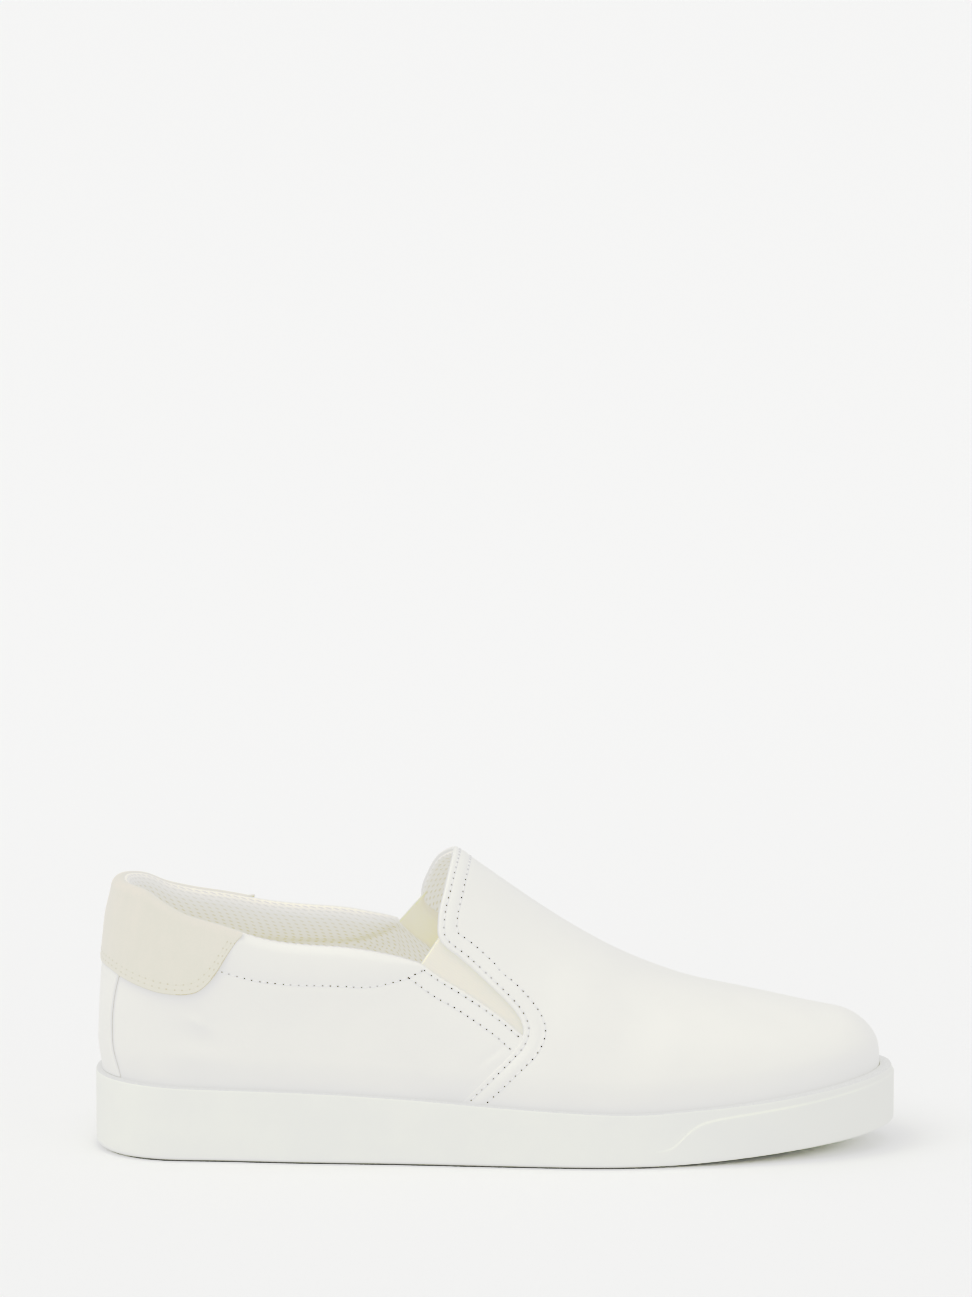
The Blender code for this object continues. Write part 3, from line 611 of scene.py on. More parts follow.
def edge_drop(distance, radius):
    """How far a rounded edge falls away at this distance from the border."""
    inside = 1 - np.clip(distance / radius, 0.0, 1.0)
    return radius * (1 - np.sqrt(np.maximum(0.0, 1 - inside * inside)))


def swelling(last, rows, share, side, height):
    """The height of the soft dents and swellings at these points."""
    total = np.zeros(np.broadcast(share, side, height).shape)
    for row in rows:
        x = (share - row.share) * last.sizes.sole_length
        z = height - row.height * last.sizes.instep
        angle = math.radians(row.turn)
        along = x * math.cos(angle) + z * math.sin(angle)
        across = z * math.cos(angle) - x * math.sin(angle)
        bell = np.exp(-((along / row.long) ** 2) - (across / row.wide) ** 2)
        total = total + np.where(side == row.side, row.rise * bell, 0.0)
    return total


def mesh_object(name, points, faces, finish, cloth=None):
    """A smooth mesh piece that rides on the shoe. Cloth holds each point's place on its flat cloth, in mm."""
    mesh = bpy.data.meshes.new(name)
    mesh.from_pydata([tuple(p) for p in points], [], faces)
    if cloth is not None:
        place = mesh.attributes.new("cloth", "FLOAT_VECTOR", "POINT")
        place.data.foreach_set("vector", np.asarray(cloth, np.float32).ravel())
    mesh.validate()
    mesh.shade_smooth()
    mesh.set_sharp_from_angle(angle=SHARP_ANGLE)
    for material in finish if isinstance(finish, (list, tuple)) else [finish]:
        mesh.materials.append(material)
    placed = bpy.data.objects.new(name, mesh)
    bpy.context.scene.collection.objects.link(placed)
    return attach(placed, BODY)


def weld(piece, distance=1e-6):
    """Makes points that fall together one, as at the tip of the toe."""
    made = bmesh.new()
    made.from_mesh(piece.data)
    bmesh.ops.remove_doubles(made, verts=made.verts, dist=distance)
    bmesh.ops.dissolve_degenerate(made, dist=1e-8, edges=made.edges)
    bmesh.ops.recalc_face_normals(made, faces=made.faces)
    made.to_mesh(piece.data)
    made.free()
    piece.data.set_sharp_from_angle(angle=SHARP_ANGLE)


def cloth_places(grid, from_end=False):
    """Each point's place on the flat cloth, in mm: how far it lies along its line, from the middle column, and
    how far up its column, from the first row or from the last."""
    along = np.linalg.norm(np.diff(grid, axis=1), axis=-1)
    up = np.linalg.norm(np.diff(grid, axis=0), axis=-1)
    places = np.zeros(grid.shape)
    places[:, 1:, 0] = np.cumsum(along, axis=1) / MM
    places[1:, :, 1] = np.cumsum(up, axis=0) / MM
    if from_end:
        places[..., 1] -= places[-1:, :, 1]
    middle = grid.shape[1] // 2
    places[..., 0] -= places[:, middle:middle + 1, 0]
    return places + (CLOTH_START, CLOTH_START, 0.0)


def panel(name, face, back, finish, open_ends=(0, -1), from_end=False, raw_rows=None):
    """A closed panel between its face and its back, two grids of points of one shape. Raw rows says for each
    column how many rows of the face, with the edge below them, take the second finish."""
    rows, columns = face.shape[:2]
    layers = np.concatenate([face, back[::-1]], axis=0)
    cloth = cloth_places(face, from_end)
    cloth = np.concatenate([cloth, cloth[::-1]], axis=0)
    total = len(layers)
    index = np.arange(total * columns).reshape(total, columns)
    above = np.roll(index, -1, axis=0)
    quads = np.stack([index[:, :-1], index[:, 1:], above[:, 1:], above[:, :-1]], axis=-1)
    quads = quads.reshape(-1, 4).tolist()
    for column in [end % columns for end in open_ends]:
        line = index[:, column]
        for row in range(rows - 1):
            quads.append([line[row], line[row + 1], line[total - row - 2], line[total - row - 1]])
    piece = mesh_object(name, layers.reshape(-1, 3), quads, finish, cloth.reshape(-1, 3))
    if raw_rows is not None:
        raw = np.arange(total)[:, None] < raw_rows[None, :]
        raw[-1] = True
        kinds = np.zeros(len(quads), np.int32)
        kinds[: raw.size] = raw.ravel()
        piece.data.polygons.foreach_set("material_index", kinds)
    weld(piece)
    return piece


class Paint:
    """A material under construction: makes nodes and joins them."""

    def __init__(self, name, colour, roughness):
        self.material = bpy.data.materials.new(name)
        self.material.use_nodes = True
        self.nodes = self.material.node_tree.nodes
        self.links = self.material.node_tree.links
        self.shader = self.nodes["Principled BSDF"]
        self.shader.inputs["Base Color"].default_value = (*colour, 1.0)
        self.shader.inputs["Roughness"].default_value = roughness
        self.colour = colour

    def node(self, kind, settings=None, **inputs):
        made = self.nodes.new(kind)
        for key, value in (settings or {}).items():
            setattr(made, key, value)
        for key, value in inputs.items():
            self.feed(made.inputs[key.replace("_", " ")], value)
        return made

    def feed(self, socket, value):
        if isinstance(value, bpy.types.NodeSocket):
            self.links.new(value, socket)
        else:
            socket.default_value = value

    def place(self):
        """The point on the shoe, in metres."""
        return self.node("ShaderNodeTexCoord").outputs["Object"]

    def cloth(self):
        """The place on the flat cloth, in mm."""
        return self.node("ShaderNodeAttribute", {"attribute_name": "cloth"}).outputs["Vector"]

    def noise(self, place, size, detail=3.0, roughness=0.55):
        """Noise with features of about this size, in the units of place."""
        scale = 1.0 / size
        made = self.node("ShaderNodeTexNoise", Vector=place, Scale=scale, Detail=detail, Roughness=roughness)
        return made.outputs["Fac"]

    def cells(self, place, size):
        """The distance to the middle of cells of about this size."""
        return self.node("ShaderNodeTexVoronoi", Vector=place, Scale=1.0 / size).outputs["Distance"]

    def maths(self, operation, first, second=0.0, clamp=False):
        made = self.node("ShaderNodeMath", {"operation": operation, "use_clamp": clamp})
        self.feed(made.inputs[0], first)
        self.feed(made.inputs[1], second)
        return made.outputs[0]

    def map(self, value, low, high, start=0.0, end=1.0):
        made = self.node("ShaderNodeMapRange", {"interpolation_type": "SMOOTHSTEP"}, Value=value)
        for key, number in (("From Min", low), ("From Max", high), ("To Min", start), ("To Max", end)):
            made.inputs[key].default_value = number
        return made.outputs["Result"]

    def blend(self, factor, first, second, mode="MIX"):
        made = self.node("ShaderNodeMix", {"data_type": "RGBA", "blend_type": mode})
        self.feed(made.inputs[0], factor)
        self.feed(made.inputs[6], first if isinstance(first, bpy.types.NodeSocket) else (*first, 1.0))
        self.feed(made.inputs[7], second if isinstance(second, bpy.types.NodeSocket) else (*second, 1.0))
        return made.outputs[2]

    def bump(self, height, distance, strength=1.0, normal=None):
        made = self.node("ShaderNodeBump", Strength=strength, Distance=distance, Height=height)
        if normal is not None:
            self.links.new(normal, made.inputs["Normal"])
        self.links.new(made.outputs["Normal"], self.shader.inputs["Normal"])
        return made.outputs["Normal"]

    def tint(self, share):
        """The colour made lighter or darker by this share."""
        return tuple(min(1.0, channel * share) for channel in self.colour)

    def mottle(self, value, dark, light):
        """Varies the base colour between two shares of it, where this value goes from 0 to 1."""
        self.feed(self.shader.inputs["Base Color"], self.blend(value, self.tint(dark), self.tint(light)))

    def set_surface(self, **values):
        """Sets uniform values of the shader, named as its sockets are."""
        for key, value in values.items():
            self.shader.inputs[key.replace("_", " ")].default_value = value


def leather_finish(name, colour):
    """Smooth leather with fine pores and soft clouds."""
    paint = Paint(name, colour, 0.40)
    place = paint.place()
    cloudy = paint.noise(place, 0.030, 2.0)
    paint.mottle(paint.map(cloudy, 0.35, 0.65), 0.985, 1.005)
    pores = paint.cells(place, 0.0009)
    wrinkles = paint.noise(place, 0.0016, 4.0, 0.6)
    rough = paint.map(paint.noise(place, 0.004, 3.0), 0.3, 0.7, 0.36, 0.46)
    paint.feed(paint.shader.inputs["Roughness"], rough)
    grain = paint.maths("ADD", paint.maths("MULTIPLY", pores, 0.7), paint.maths("MULTIPLY", wrinkles, 0.6))
    first = paint.bump(grain, 0.00006, 0.35)
    paint.bump(paint.noise(place, 0.011, 3.0), 0.0005, 0.22, first)
    paint.set_surface(Specular_IOR_Level=0.36, Sheen_Weight=0.10, Sheen_Roughness=0.6)
    return paint.material


def suede_finish(name, colour):
    """Suede with a short nap that is stroked up and down."""
    paint = Paint(name, colour, 0.95)
    place = paint.place()
    nap = paint.noise(place, 0.0007, 5.0, 0.75)
    upright = paint.node("ShaderNodeMapping", Vector=place, Scale=(1.0, 1.0, 0.35))
    stroke = paint.noise(upright.outputs["Vector"], 0.006, 3.0, 0.6)
    mixed = paint.maths("ADD", paint.maths("MULTIPLY", nap, 0.5), paint.maths("MULTIPLY", stroke, 0.5))
    paint.mottle(paint.map(mixed, 0.32, 0.68), 0.945, 1.035)
    paint.bump(nap, 0.00022, 0.8)
    paint.set_surface(Specular_IOR_Level=0.15, Sheen_Weight=0.25, Sheen_Roughness=0.5)
    return paint.material


def knit_finish(name, colour):
    """A spacer knit: rows of small slanting holes with painted shade in them, each row shifted by half of their
    pitch. Sizes are in mm.
    """
    paint = Paint(name, colour, 0.92)
    cloth = paint.cloth()
    pitch, rise, hole_length, hole_width = 2.7, 1.35, 0.80, 0.24
    parts = paint.node("ShaderNodeSeparateXYZ", Vector=cloth)
    v = paint.maths("DIVIDE", parts.outputs["Y"], rise)
    odd = paint.maths("MULTIPLY", paint.maths("MODULO", paint.maths("FLOOR", v), 2.0), 0.5)
    u = paint.maths("ADD", paint.maths("DIVIDE", parts.outputs["X"], pitch), odd)
    off_u = paint.maths("SUBTRACT", paint.maths("FRACT", u), 0.5)
    off_v = paint.maths("SUBTRACT", paint.maths("FRACT", v), 0.5)
    near_u = paint.maths("MULTIPLY", off_u, pitch / hole_length)
    near_v = paint.maths("MULTIPLY", off_v, rise / hole_width)
    slant = paint.maths("ADD", near_v, paint.maths("MULTIPLY", near_u, 0.85))
    square_u, square_v = paint.maths("MULTIPLY", near_u, near_u), paint.maths("MULTIPLY", slant, slant)
    squares = paint.maths("ADD", square_u, square_v)
    yarn = paint.noise(cloth, 0.35, 3.0, 0.7)
    far = paint.maths("ADD", paint.maths("SQRT", squares), paint.maths("MULTIPLY", yarn, 0.5))
    closed = paint.map(far, 0.75, 1.75)
    woolly = paint.blend(paint.map(yarn, 0.3, 0.7), paint.tint(0.95), paint.tint(1.03))
    # Painted shade: the holes are darker than the yarn
    dark = tuple(channel * share for channel, share in zip(paint.colour, (0.70, 0.65, 0.56)))
    paint.feed(paint.shader.inputs["Base Color"], paint.blend(closed, dark, woolly))
    height = paint.maths("ADD", closed, paint.maths("MULTIPLY", yarn, 0.35))
    paint.bump(height, 0.0002, 0.6)
    paint.set_surface(Specular_IOR_Level=0.2, Sheen_Weight=0.35)
    return paint.material


def elastic_finish(name, colour):
    """Fine ribs of covered rubber, side by side along the gore."""
    paint = Paint(name, colour, 0.80)
    cloth = paint.cloth()
    parts = paint.node("ShaderNodeSeparateXYZ", Vector=cloth)
    ribs = paint.maths("SINE", paint.maths("MULTIPLY", parts.outputs["Y"], 2 * math.pi / 0.85))
    weave = paint.maths("SINE", paint.maths("MULTIPLY", parts.outputs["X"], 2 * math.pi / 0.55))
    fibres = paint.noise(cloth, 0.3, 3.0, 0.7)
    height = paint.maths("ADD", paint.maths("MULTIPLY", ribs, 0.5), paint.maths("MULTIPLY", weave, 0.18))
    height = paint.maths("ADD", height, paint.maths("MULTIPLY", fibres, 0.4))
    shade = paint.map(height, -0.6, 0.7)
    paint.mottle(shade, 0.985, 1.005)
    paint.bump(height, 0.00003, 0.5)
    paint.set_surface(Specular_IOR_Level=0.25, Sheen_Weight=0.12)
    paint.set_surface(Subsurface_Weight=0.6, Subsurface_Radius=(1.0, 0.9, 0.6), Subsurface_Scale=0.0015)
    return paint.material


def rubber_finish(name, colour):
    """White rubber, darker towards the toe with painted shade, and with a painted contact shadow at the floor.
    """
    paint = Paint(name, colour, 0.52)
    place = paint.place()
    parts = paint.node("ShaderNodeSeparateXYZ", Vector=place)
    cloudy = paint.noise(place, 0.020, 3.0)
    rubber_tone = paint.blend(paint.map(cloudy, 0.35, 0.65), paint.tint(0.985), paint.tint(1.01))
    # Painted shade: the rubber darkens towards the toe, where less light falls on it
    toe_shade = paint.blend(paint.map(parts.outputs["X"], 0.050, 0.125), (1.0, 1.0, 1.0), (0.920, 0.930, 0.855))
    rubber_tone = paint.blend(1.0, rubber_tone, toe_shade, "MULTIPLY")
    # Painted contact shadow: the rubber turns almost black where it meets the floor
    out_of_contact_shadow = paint.map(parts.outputs["Z"], 0.0004, 0.0015)
    paint.feed(paint.shader.inputs["Base Color"], paint.blend(out_of_contact_shadow, paint.tint(0.14), rubber_tone))
    rough = paint.map(paint.noise(place, 0.003, 3.0), 0.3, 0.7, 0.48, 0.60)
    paint.feed(paint.shader.inputs["Roughness"], rough)
    first = paint.bump(paint.noise(place, 0.0005, 3.0, 0.6), 0.00003, 0.35)
    paint.bump(paint.noise(place, 0.008, 2.0), 0.0002, 0.2, first)
    paint.set_surface(Specular_IOR_Level=0.40)
    return paint.material


def tread_finish(name, colour):
    """The underside: the same rubber with a fine moulded herringbone, with painted shade in its grooves."""
    paint = Paint(name, colour, 0.60)
    place = paint.place()
    parts = paint.node("ShaderNodeSeparateXYZ", Vector=place)
    fold = paint.maths("PINGPONG", parts.outputs["Y"], 0.007)
    run = paint.maths("ADD", parts.outputs["X"], paint.maths("MULTIPLY", fold, 0.8))
    wave = paint.maths("SINE", paint.maths("MULTIPLY", run, 2 * math.pi / 0.0036))
    lug = paint.map(wave, -0.3, 0.3)
    # Painted shade in the grooves of the herringbone
    paint.mottle(lug, 0.93, 1.0)
    paint.bump(lug, 0.0005, 0.8)
    return paint.material


def sock_finish(name, colour):
    """The insole's cover, a fuzzy cloth."""
    paint = Paint(name, colour, 0.88)
    cloth = paint.cloth()
    weave = paint.cells(cloth, 0.9)
    fuzz = paint.noise(cloth, 0.4, 3.0, 0.7)
    paint.mottle(paint.map(fuzz, 0.3, 0.7), 0.93, 1.04)
    paint.bump(paint.maths("ADD", weave, fuzz), 0.00012, 0.5)
    paint.set_surface(Sheen_Weight=0.15)
    return paint.material


def thread_finish(name, colour):
    """Twisted sewing thread, with painted shade in the grooves of its twist."""
    paint = Paint(name, colour, 0.60)
    twist = paint.noise(paint.place(), 0.0003, 2.0)
    # Painted shade in the grooves of the twist
    paint.mottle(paint.map(twist, 0.35, 0.65), 0.90, 1.0)
    paint.bump(twist, 0.00008, 0.6)
    return paint.material


def dull_finish(name, colour):
    """Painted shade for what lies in shade: needle holes, open seams and the sole's crevice; and for the
    suede's cut edge, partly its own colour.
    """
    paint = Paint(name, colour, 0.95)
    dust = paint.noise(paint.place(), 0.0004, 2.0)
    paint.mottle(paint.map(dust, 0.3, 0.7), 0.75, 1.25)
    paint.set_surface(Specular_IOR_Level=0.1)
    return paint.material


# Each finish: how it is made, what it is called, which colour it takes, and the share of that colour
Finish = namedtuple("Finish", "make name colour share")
FINISHES = {
    "leather": Finish(leather_finish, "white leather", "leather", 1.0),
    "suede": Finish(suede_finish, "off-white suede", "suede", 1.0),
    "knit": Finish(knit_finish, "cream knit", "knit", 1.0),
    "elastic": Finish(elastic_finish, "cream elastic", "elastic", 1.0),
    # Partly painted light, as on its colour
    "elastic_back": Finish(elastic_finish, "back of the elastic", "elastic_back", 1.0),
    "elastic_edge": Finish(elastic_finish, "edge of the elastic", "elastic_edge", 1.0),
    "rubber": Finish(rubber_finish, "white rubber", "rubber", 1.0),
    "tread": Finish(tread_finish, "tread rubber", "rubber", 1.0),
    # Painted shade: the rubber darkened in the rim's crevice
    "crevice": Finish(dull_finish, "rubber in the crevice", "rubber", 0.74),
    "sock": Finish(sock_finish, "insole cover", "sock", 1.0),
    "thread": Finish(thread_finish, "sewing thread", "thread", 1.0),
    "suede_thread": Finish(thread_finish, "suede thread", "suede", 1.0),
    # Painted shadow: the dark beads of the needle holes, in leather and in suede
    "hole": Finish(dull_finish, "needle hole", "hole", 1.0),
    "suede_hole": Finish(dull_finish, "needle hole in suede", "suede_hole", 1.0),
    # Painted shadow in the backstay's seams
    "seam": Finish(dull_finish, "open seam", "seam", 1.0),
    # Partly painted shade on the suede's cut edge
    "raw_edge": Finish(dull_finish, "raw suede edge", "raw_edge", 1.0),
}
made_finishes = {}


def finish_of(context, kind):
    """The material of this kind, made once."""
    if kind not in made_finishes:
        row = FINISHES[kind]
        colour = getattr(context.scene.sneaker_colours, row.colour)
        made_finishes[kind] = row.make(row.name, tuple(channel * row.share for channel in colour))
    return made_finishes[kind]


def rounded_shares(count):
    """Shares from 0 to 1 that crowd together at both ends, where the outline turns."""
    return (1 - np.cos(np.pi * np.arange(count + 1) / count)) / 2


# The row of the sole's section, on the rounded edge of the rim, where the painted shade of the crevice starts
RIM_TOP_ROW = 22


def sole_section(last, share):
    """The cup's side at these shares, from its lower edge up and over the rim to the cup's floor: how far each
    row lies inside the outline, and its height."""
    sizes = last.sizes
    bottom, rim = last.bottom(share), last.rim(share)
    drop = sizes.cup_toe * Softened(Curve(BUMPER, "share", "drop"), 0.004)(share)
    step = sizes.bumper_step * np.clip(Softened(Curve(BUMPER, "share", "step"), 0.004)(share), 0, 1)
    well = last.lip(share) + sizes.tuck - sizes.clearance
    ledge, edge = sizes.bumper_ledge, sizes.bottom_round
    top = rim - drop
    rows = []
    for turn in np.radians([0, 20, 40, 60, 75, 90]):
        rows.append((edge * (1 - np.sin(turn)) + 0 * share, bottom + edge * (1 - np.cos(turn))))
    for part in (0.15, 0.35, 0.55, 0.75, 0.90):
        rows.append((0 * share, lerp(bottom + edge, top - ledge, part)))
    for part in (0.0, 0.12, 0.30, 0.5, 0.70, 0.88, 1.0):
        rows.append((step * ramp(part, 0.0, 1.0), top - ledge * (1 - part)))
    lip_round = np.minimum(sizes.rim_round, (well - step) * 0.4)
    rim_low = rim - lip_round
    for part in (0.25, 0.6):
        rows.append((step, lerp(top, rim_low, part)))
    for turn in np.radians([0, 15, 35, 55, 75, 90]):
        rows.append((step + lip_round * (1 - np.cos(turn)), rim_low + lip_round * np.sin(turn)))
    fall = np.minimum(0.0004, (well - step) * 0.2)
    rows.append((lerp(step + lip_round, well - fall, 0.5), rim + 0 * share))
    for turn in np.radians([90, 45, 0]):
        rows.append((well - fall * (1 - np.cos(turn)), rim - fall * (1 - np.sin(turn))))
    for part in (0.4, 1.0):
        rows.append((well, lerp(rim - fall, last.cup_floor(share), part)))
    return [np.broadcast_to(row[0], share.shape) for row in rows], [row[1] for row in rows]


def groove_shares():
    """Where the grooves run across the tread, as shares of the length."""
    return np.concatenate([np.linspace(0.065, 0.235, 5), np.linspace(0.530, 0.855, 8)])


def make_sole(context):
    """The cup sole: a ring of faces for each step of its section, closed by the tread and the cup's floor."""
    last = Last(context.scene.sneaker_sizes)
    sizes = last.sizes
    stations, across = 440, 56
    shares = lerp(rounded_shares(stations), np.linspace(0, 1, stations + 1), 0.55)
    walk = np.concatenate([shares, shares[1:-1][::-1]])
    sides = np.concatenate([np.full(len(shares), OUTER), np.full(len(shares) - 2, INNER)])
    count = len(walk)
    insets, heights = sole_section(last, walk)
    edge, direction = last.outline(walk, sides), last.inward(walk, sides)
    rings = [
        np.column_stack([edge + direction * inset[:, None], height])
        for inset, height in zip(insets, heights)
    ]
    points = np.concatenate(rings)
    levels = len(rings)
    ring = np.arange(count)
    after = np.roll(ring, -1)
    faces = []
    for level in range(levels - 1):
        low, high = level * count, (level + 1) * count
        faces.append(np.column_stack([low + ring, low + after, high + after, high + ring]))
    faces = np.concatenate(faces).tolist()
    side_faces = len(faces)

    def close(level, relief):
        """Fills one ring with a grid that runs across the sole."""
        nonlocal points
        outer = ring[: stations + 1]
        inner = np.concatenate([[0], ring[:stations:-1], [stations]])
        base = level * count
        start = len(points)
        middle = []
        for k in range(1, across):
            line = lerp(points[base + outer], points[base + inner], k / across)
            line[:, 2] += relief(shares, line[:, 1], points[base + outer][:, 1], points[base + inner][:, 1])
            middle.append(line[1:-1])
        points = np.concatenate([points, np.concatenate(middle)])
        inside = start + np.arange((across - 1) * (stations - 1)).reshape(across - 1, stations - 1)
        grid = np.zeros((across + 1, stations + 1), int)
        grid[0], grid[-1] = base + outer, base + inner
        grid[1:-1, 1:-1] = inside
        grid[:, 0], grid[:, -1] = base, base + stations
        for k in range(across):
            for i in range(stations):
                corners = [grid[k, i], grid[k, i + 1], grid[k + 1, i + 1], grid[k + 1, i]]
                faces.append(list(dict.fromkeys(corners)))

    def grooves(share, y, outer, inner):
        x = share * sizes.sole_length
        depth = np.zeros_like(x)
        for groove in groove_shares():
            near = np.abs(x - groove * sizes.sole_length)
            depth = np.maximum(depth, 1 - ramp(near, sizes.groove_width * 0.35, sizes.groove_width * 0.65))
        inside = np.minimum(y - outer, inner - y)
        return sizes.groove_depth * depth * ramp(inside, sizes.groove_margin - 0.0012, sizes.groove_margin)

    close(0, grooves)
    tread_faces = len(faces)
    close(levels - 1, lambda share, y, outer, inner: 0.0)
    finishes = [finish_of(context, kind) for kind in ("rubber", "tread", "crevice")]
    piece = mesh_object("cup_sole", points, faces, finishes)
    slots = np.zeros(len(piece.data.polygons), np.int32)
    slots[side_faces:tread_faces] = 1
    # The rim's crevice and the cup inside it take painted shade
    slots[RIM_TOP_ROW * count:side_faces] = 2
    piece.data.polygons.foreach_set("material_index", slots)
    weld(piece)
    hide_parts("sole")


def make_insole(context):
    """The dished sock on the floor of the cup."""
    last = Last(context.scene.sneaker_sizes)
    sizes = last.sizes
    shares = rounded_shares(150)
    inset = np.full_like(shares, sizes.wall + sizes.clearance)
    one = np.ones_like(shares)
    outer = last.foot(shares, OUTER * one, 0 * one, inset)
    inner = last.foot(shares, INNER * one, 0 * one, inset)
    floor = last.cup_floor(shares) + sizes.clearance

    def layer(above, dish, edge):
        rows = []
        for across in edged(0.07, 0.0014, 0.0018):
            plan = lerp(outer, inner, across)
            bowl = dish * (1 - (2 * across - 1) ** 2) * ramp(shares, 0.0, 0.1) * (1 - ramp(shares, 0.9, 1.0))
            border = np.minimum(across, 1 - across) * np.linalg.norm(inner - outer, axis=-1)
            fall = edge_drop(border, edge) if edge else 0.0
            rows.append(np.column_stack([plan, floor + above - bowl - fall]))
        return np.array(rows)

    face, back = layer(sizes.insole, sizes.insole_dish, 0.0018), layer(0.0, 0.0, 0.0)
    piece = panel("sock", face, back, finish_of(context, "sock"))
    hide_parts("insole")


def quarter_walk(last, step):
    """Even steps along the quarters, from the outer one's front round the heel to the inner one's front."""
    ends = {OUTER: OUTER_SLOT[-1].share - 0.012, INNER: INNER_SLOT[-1].share - 0.012}
    halves = []
    for side in (OUTER, INNER):
        fine = ends[side] * np.linspace(0, 1, 4001) ** 2
        line = last.outline(fine, side * np.ones_like(fine))
        run = run_along(line)
        count = int(run[-1] / step)
        halves.append(np.interp(np.linspace(0, run[-1], count + 1), run, fine))
    share = np.concatenate([halves[0][::-1], halves[1][1:]])
    side = np.concatenate([np.full(len(halves[0]), OUTER), np.full(len(halves[1]) - 1, INNER)])
    return share, side


# How far the stitch row of the padded band lies below the collar, in metres.
BandRow = namedtuple("BandRow", "share depth")
BAND = (
    BandRow(0.130, 0.0155),
    BandRow(0.179, 0.0152),
    BandRow(0.229, 0.0141),
    BandRow(0.280, 0.0135),
    BandRow(0.330, 0.0129),
    BandRow(0.348, 0.0120),
    BandRow(0.367, 0.0100),
    BandRow(0.380, 0.0082),
    BandRow(0.392, 0.0063),
    BandRow(0.402, 0.0040),
    BandRow(0.412, 0.0016),
)
# The shares of the length between which the band's stitch row is sewn on the outer side, from the patch to the
# collar's corner
BAND_START = 0.152
BAND_END = OUTER_SLOT[0].share + 0.001


def band_depth(last, share, side):
    """The depth of the band, which ends where the collar meets the gore slot."""
    shift = OUTER_SLOT[0].share - np.where(side == OUTER, last.slot_start[OUTER], last.slot_start[INNER])
    return Softened(Curve(BAND, "share", "depth"), 0.004)(share + shift * ramp(share, 0.20, 0.34))


# How far the padded band swells out, how deep its stitch row is pulled in, and about half that row's width, in
# metres
BAND_SWELL = 0.00055
BAND_ROW_DEPTH = 0.00022
BAND_ROW_SPREAD = 0.0011


def collar_band(last, share, side, height):
    """How far the padded band under the collar swells out above its stitch row."""
    top = last.quarter_top(share, side)
    width = band_depth(last, share, side)
    below = (top - height) / width
    puff = np.clip(1 - (2 * below - 1) ** 2, 0, None) * (below < 1)
    fade = ramp(share, 0.12, 0.19) * (1 - ramp(share, 0.36, 0.41))
    seam = np.exp(-(((top - width - height) / BAND_ROW_SPREAD) ** 2))
    return (BAND_SWELL * puff - BAND_ROW_DEPTH * seam) * fade


def quarter_relief(last, share, side, height):
    """The quarters' dents and the padded band under their collar."""
    return swelling(last, QUARTER_SWELLS, share, side, height) + collar_band(last, share, side, height)


def make_quarters(context):
    """Both quarters, with the leather rolled over the crest of the collar."""
    last = Last(context.scene.sneaker_sizes)
    sizes = last.sizes
    share, side = quarter_walk(last, 0.0010)
    top = last.quarter_top(share, side)
    radius = last.pad(share, side, top) / 2
    low = last.cup_floor(share) + sizes.clearance

    def grid(depth):
        rows = []
        for level in np.linspace(0, 1, 62):
            height = lerp(low, top - radius, level)
            rows.append(last.wall(share, side, height, quarter_relief(last, share, side, height) - depth))
        for turn in np.radians([15, 30, 45, 60, 75, 88, 97]):
            tucked = 0.0002 * ramp(turn, 1.4, 1.7)
            inside = np.minimum(depth, radius * 0.8)
            lift = -radius + (radius - inside - tucked) * np.cos(turn)
            height = top - radius + (radius - inside - tucked) * np.sin(turn)
            rows.append(last.wall(share, side, height, lift))
        return np.array(rows)

    piece = panel("quarter_leather", grid(0.0), grid(sizes.leather), finish_of(context, "leather"))
    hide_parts("upper")


def vamp_starts(last, side, level, setback=0.0):
    """The share at which the vamp's rear edge crosses these lines of the last, by halving."""
    level = np.asarray(level, float)
    sides = np.full_like(level, side)
    low, high = np.full_like(level, 0.35), np.full_like(level, 0.70)
    for _ in range(36):
        middle = (low + high) / 2
        point = last.surface(middle, sides, level)
        ahead = point[..., 0] / last.sizes.sole_length + 0.5 - last.vamp_edge(point[..., 2], sides)
        low, high = np.where(ahead < 0, middle, low), np.where(ahead < 0, high, middle)
    return (low + high) / 2 + setback / last.sizes.sole_length


def vamp_lines(count):
    """The vamp's lines from the outer side of the cup over the ridge to the inner side: (sides, levels)."""
    rising = np.concatenate([np.linspace(-1, -0.1, 7), np.sin(np.pi / 2 * np.linspace(0, 1, count))])
    sides = np.concatenate([np.full(len(rising), OUTER), np.full(len(rising) - 1, INNER)])
    return sides, np.concatenate([rising, rising[:-1][::-1]])


def vamp_begins(last, sides, levels, setback=0.0):
    """The share at which the vamp begins on each of its lines."""
    outer, inner = (vamp_starts(last, side, levels, setback) for side in (OUTER, INNER))
    return np.where(sides == OUTER, outer, inner)


def edge_distance(edge, points):
    """How far each point lies from a line of points."""
    tree = KDTree(len(edge))
    for i, place in enumerate(edge):
        tree.insert(place, i)
    tree.balance()
    flat = points.reshape(-1, 3)
    return np.array([tree.find(place)[2] for place in flat]).reshape(points.shape[:-1])


def vamp_grid(last, places, lift, setback=0.0, count=96, relief=None):
    """A grid of the vamp: a row for each line, and places from its rear edge to the toe."""
    sides, levels = vamp_lines(count)
    begin = vamp_begins(last, sides, levels, setback)
    share = lerp(begin[:, None], 1.0, places[None, :])
    side = np.broadcast_to(sides[:, None], share.shape)
    level = np.broadcast_to(levels[:, None], share.shape)
    points = last.surface(share, side, level)
    apart = edge_distance(densified(points[:, 0], 4), points)
    lifts = lift + (relief(last, share, side, points[..., 2], apart) if relief else 0.0)
    return last.lifted(share, side, level, lifts)


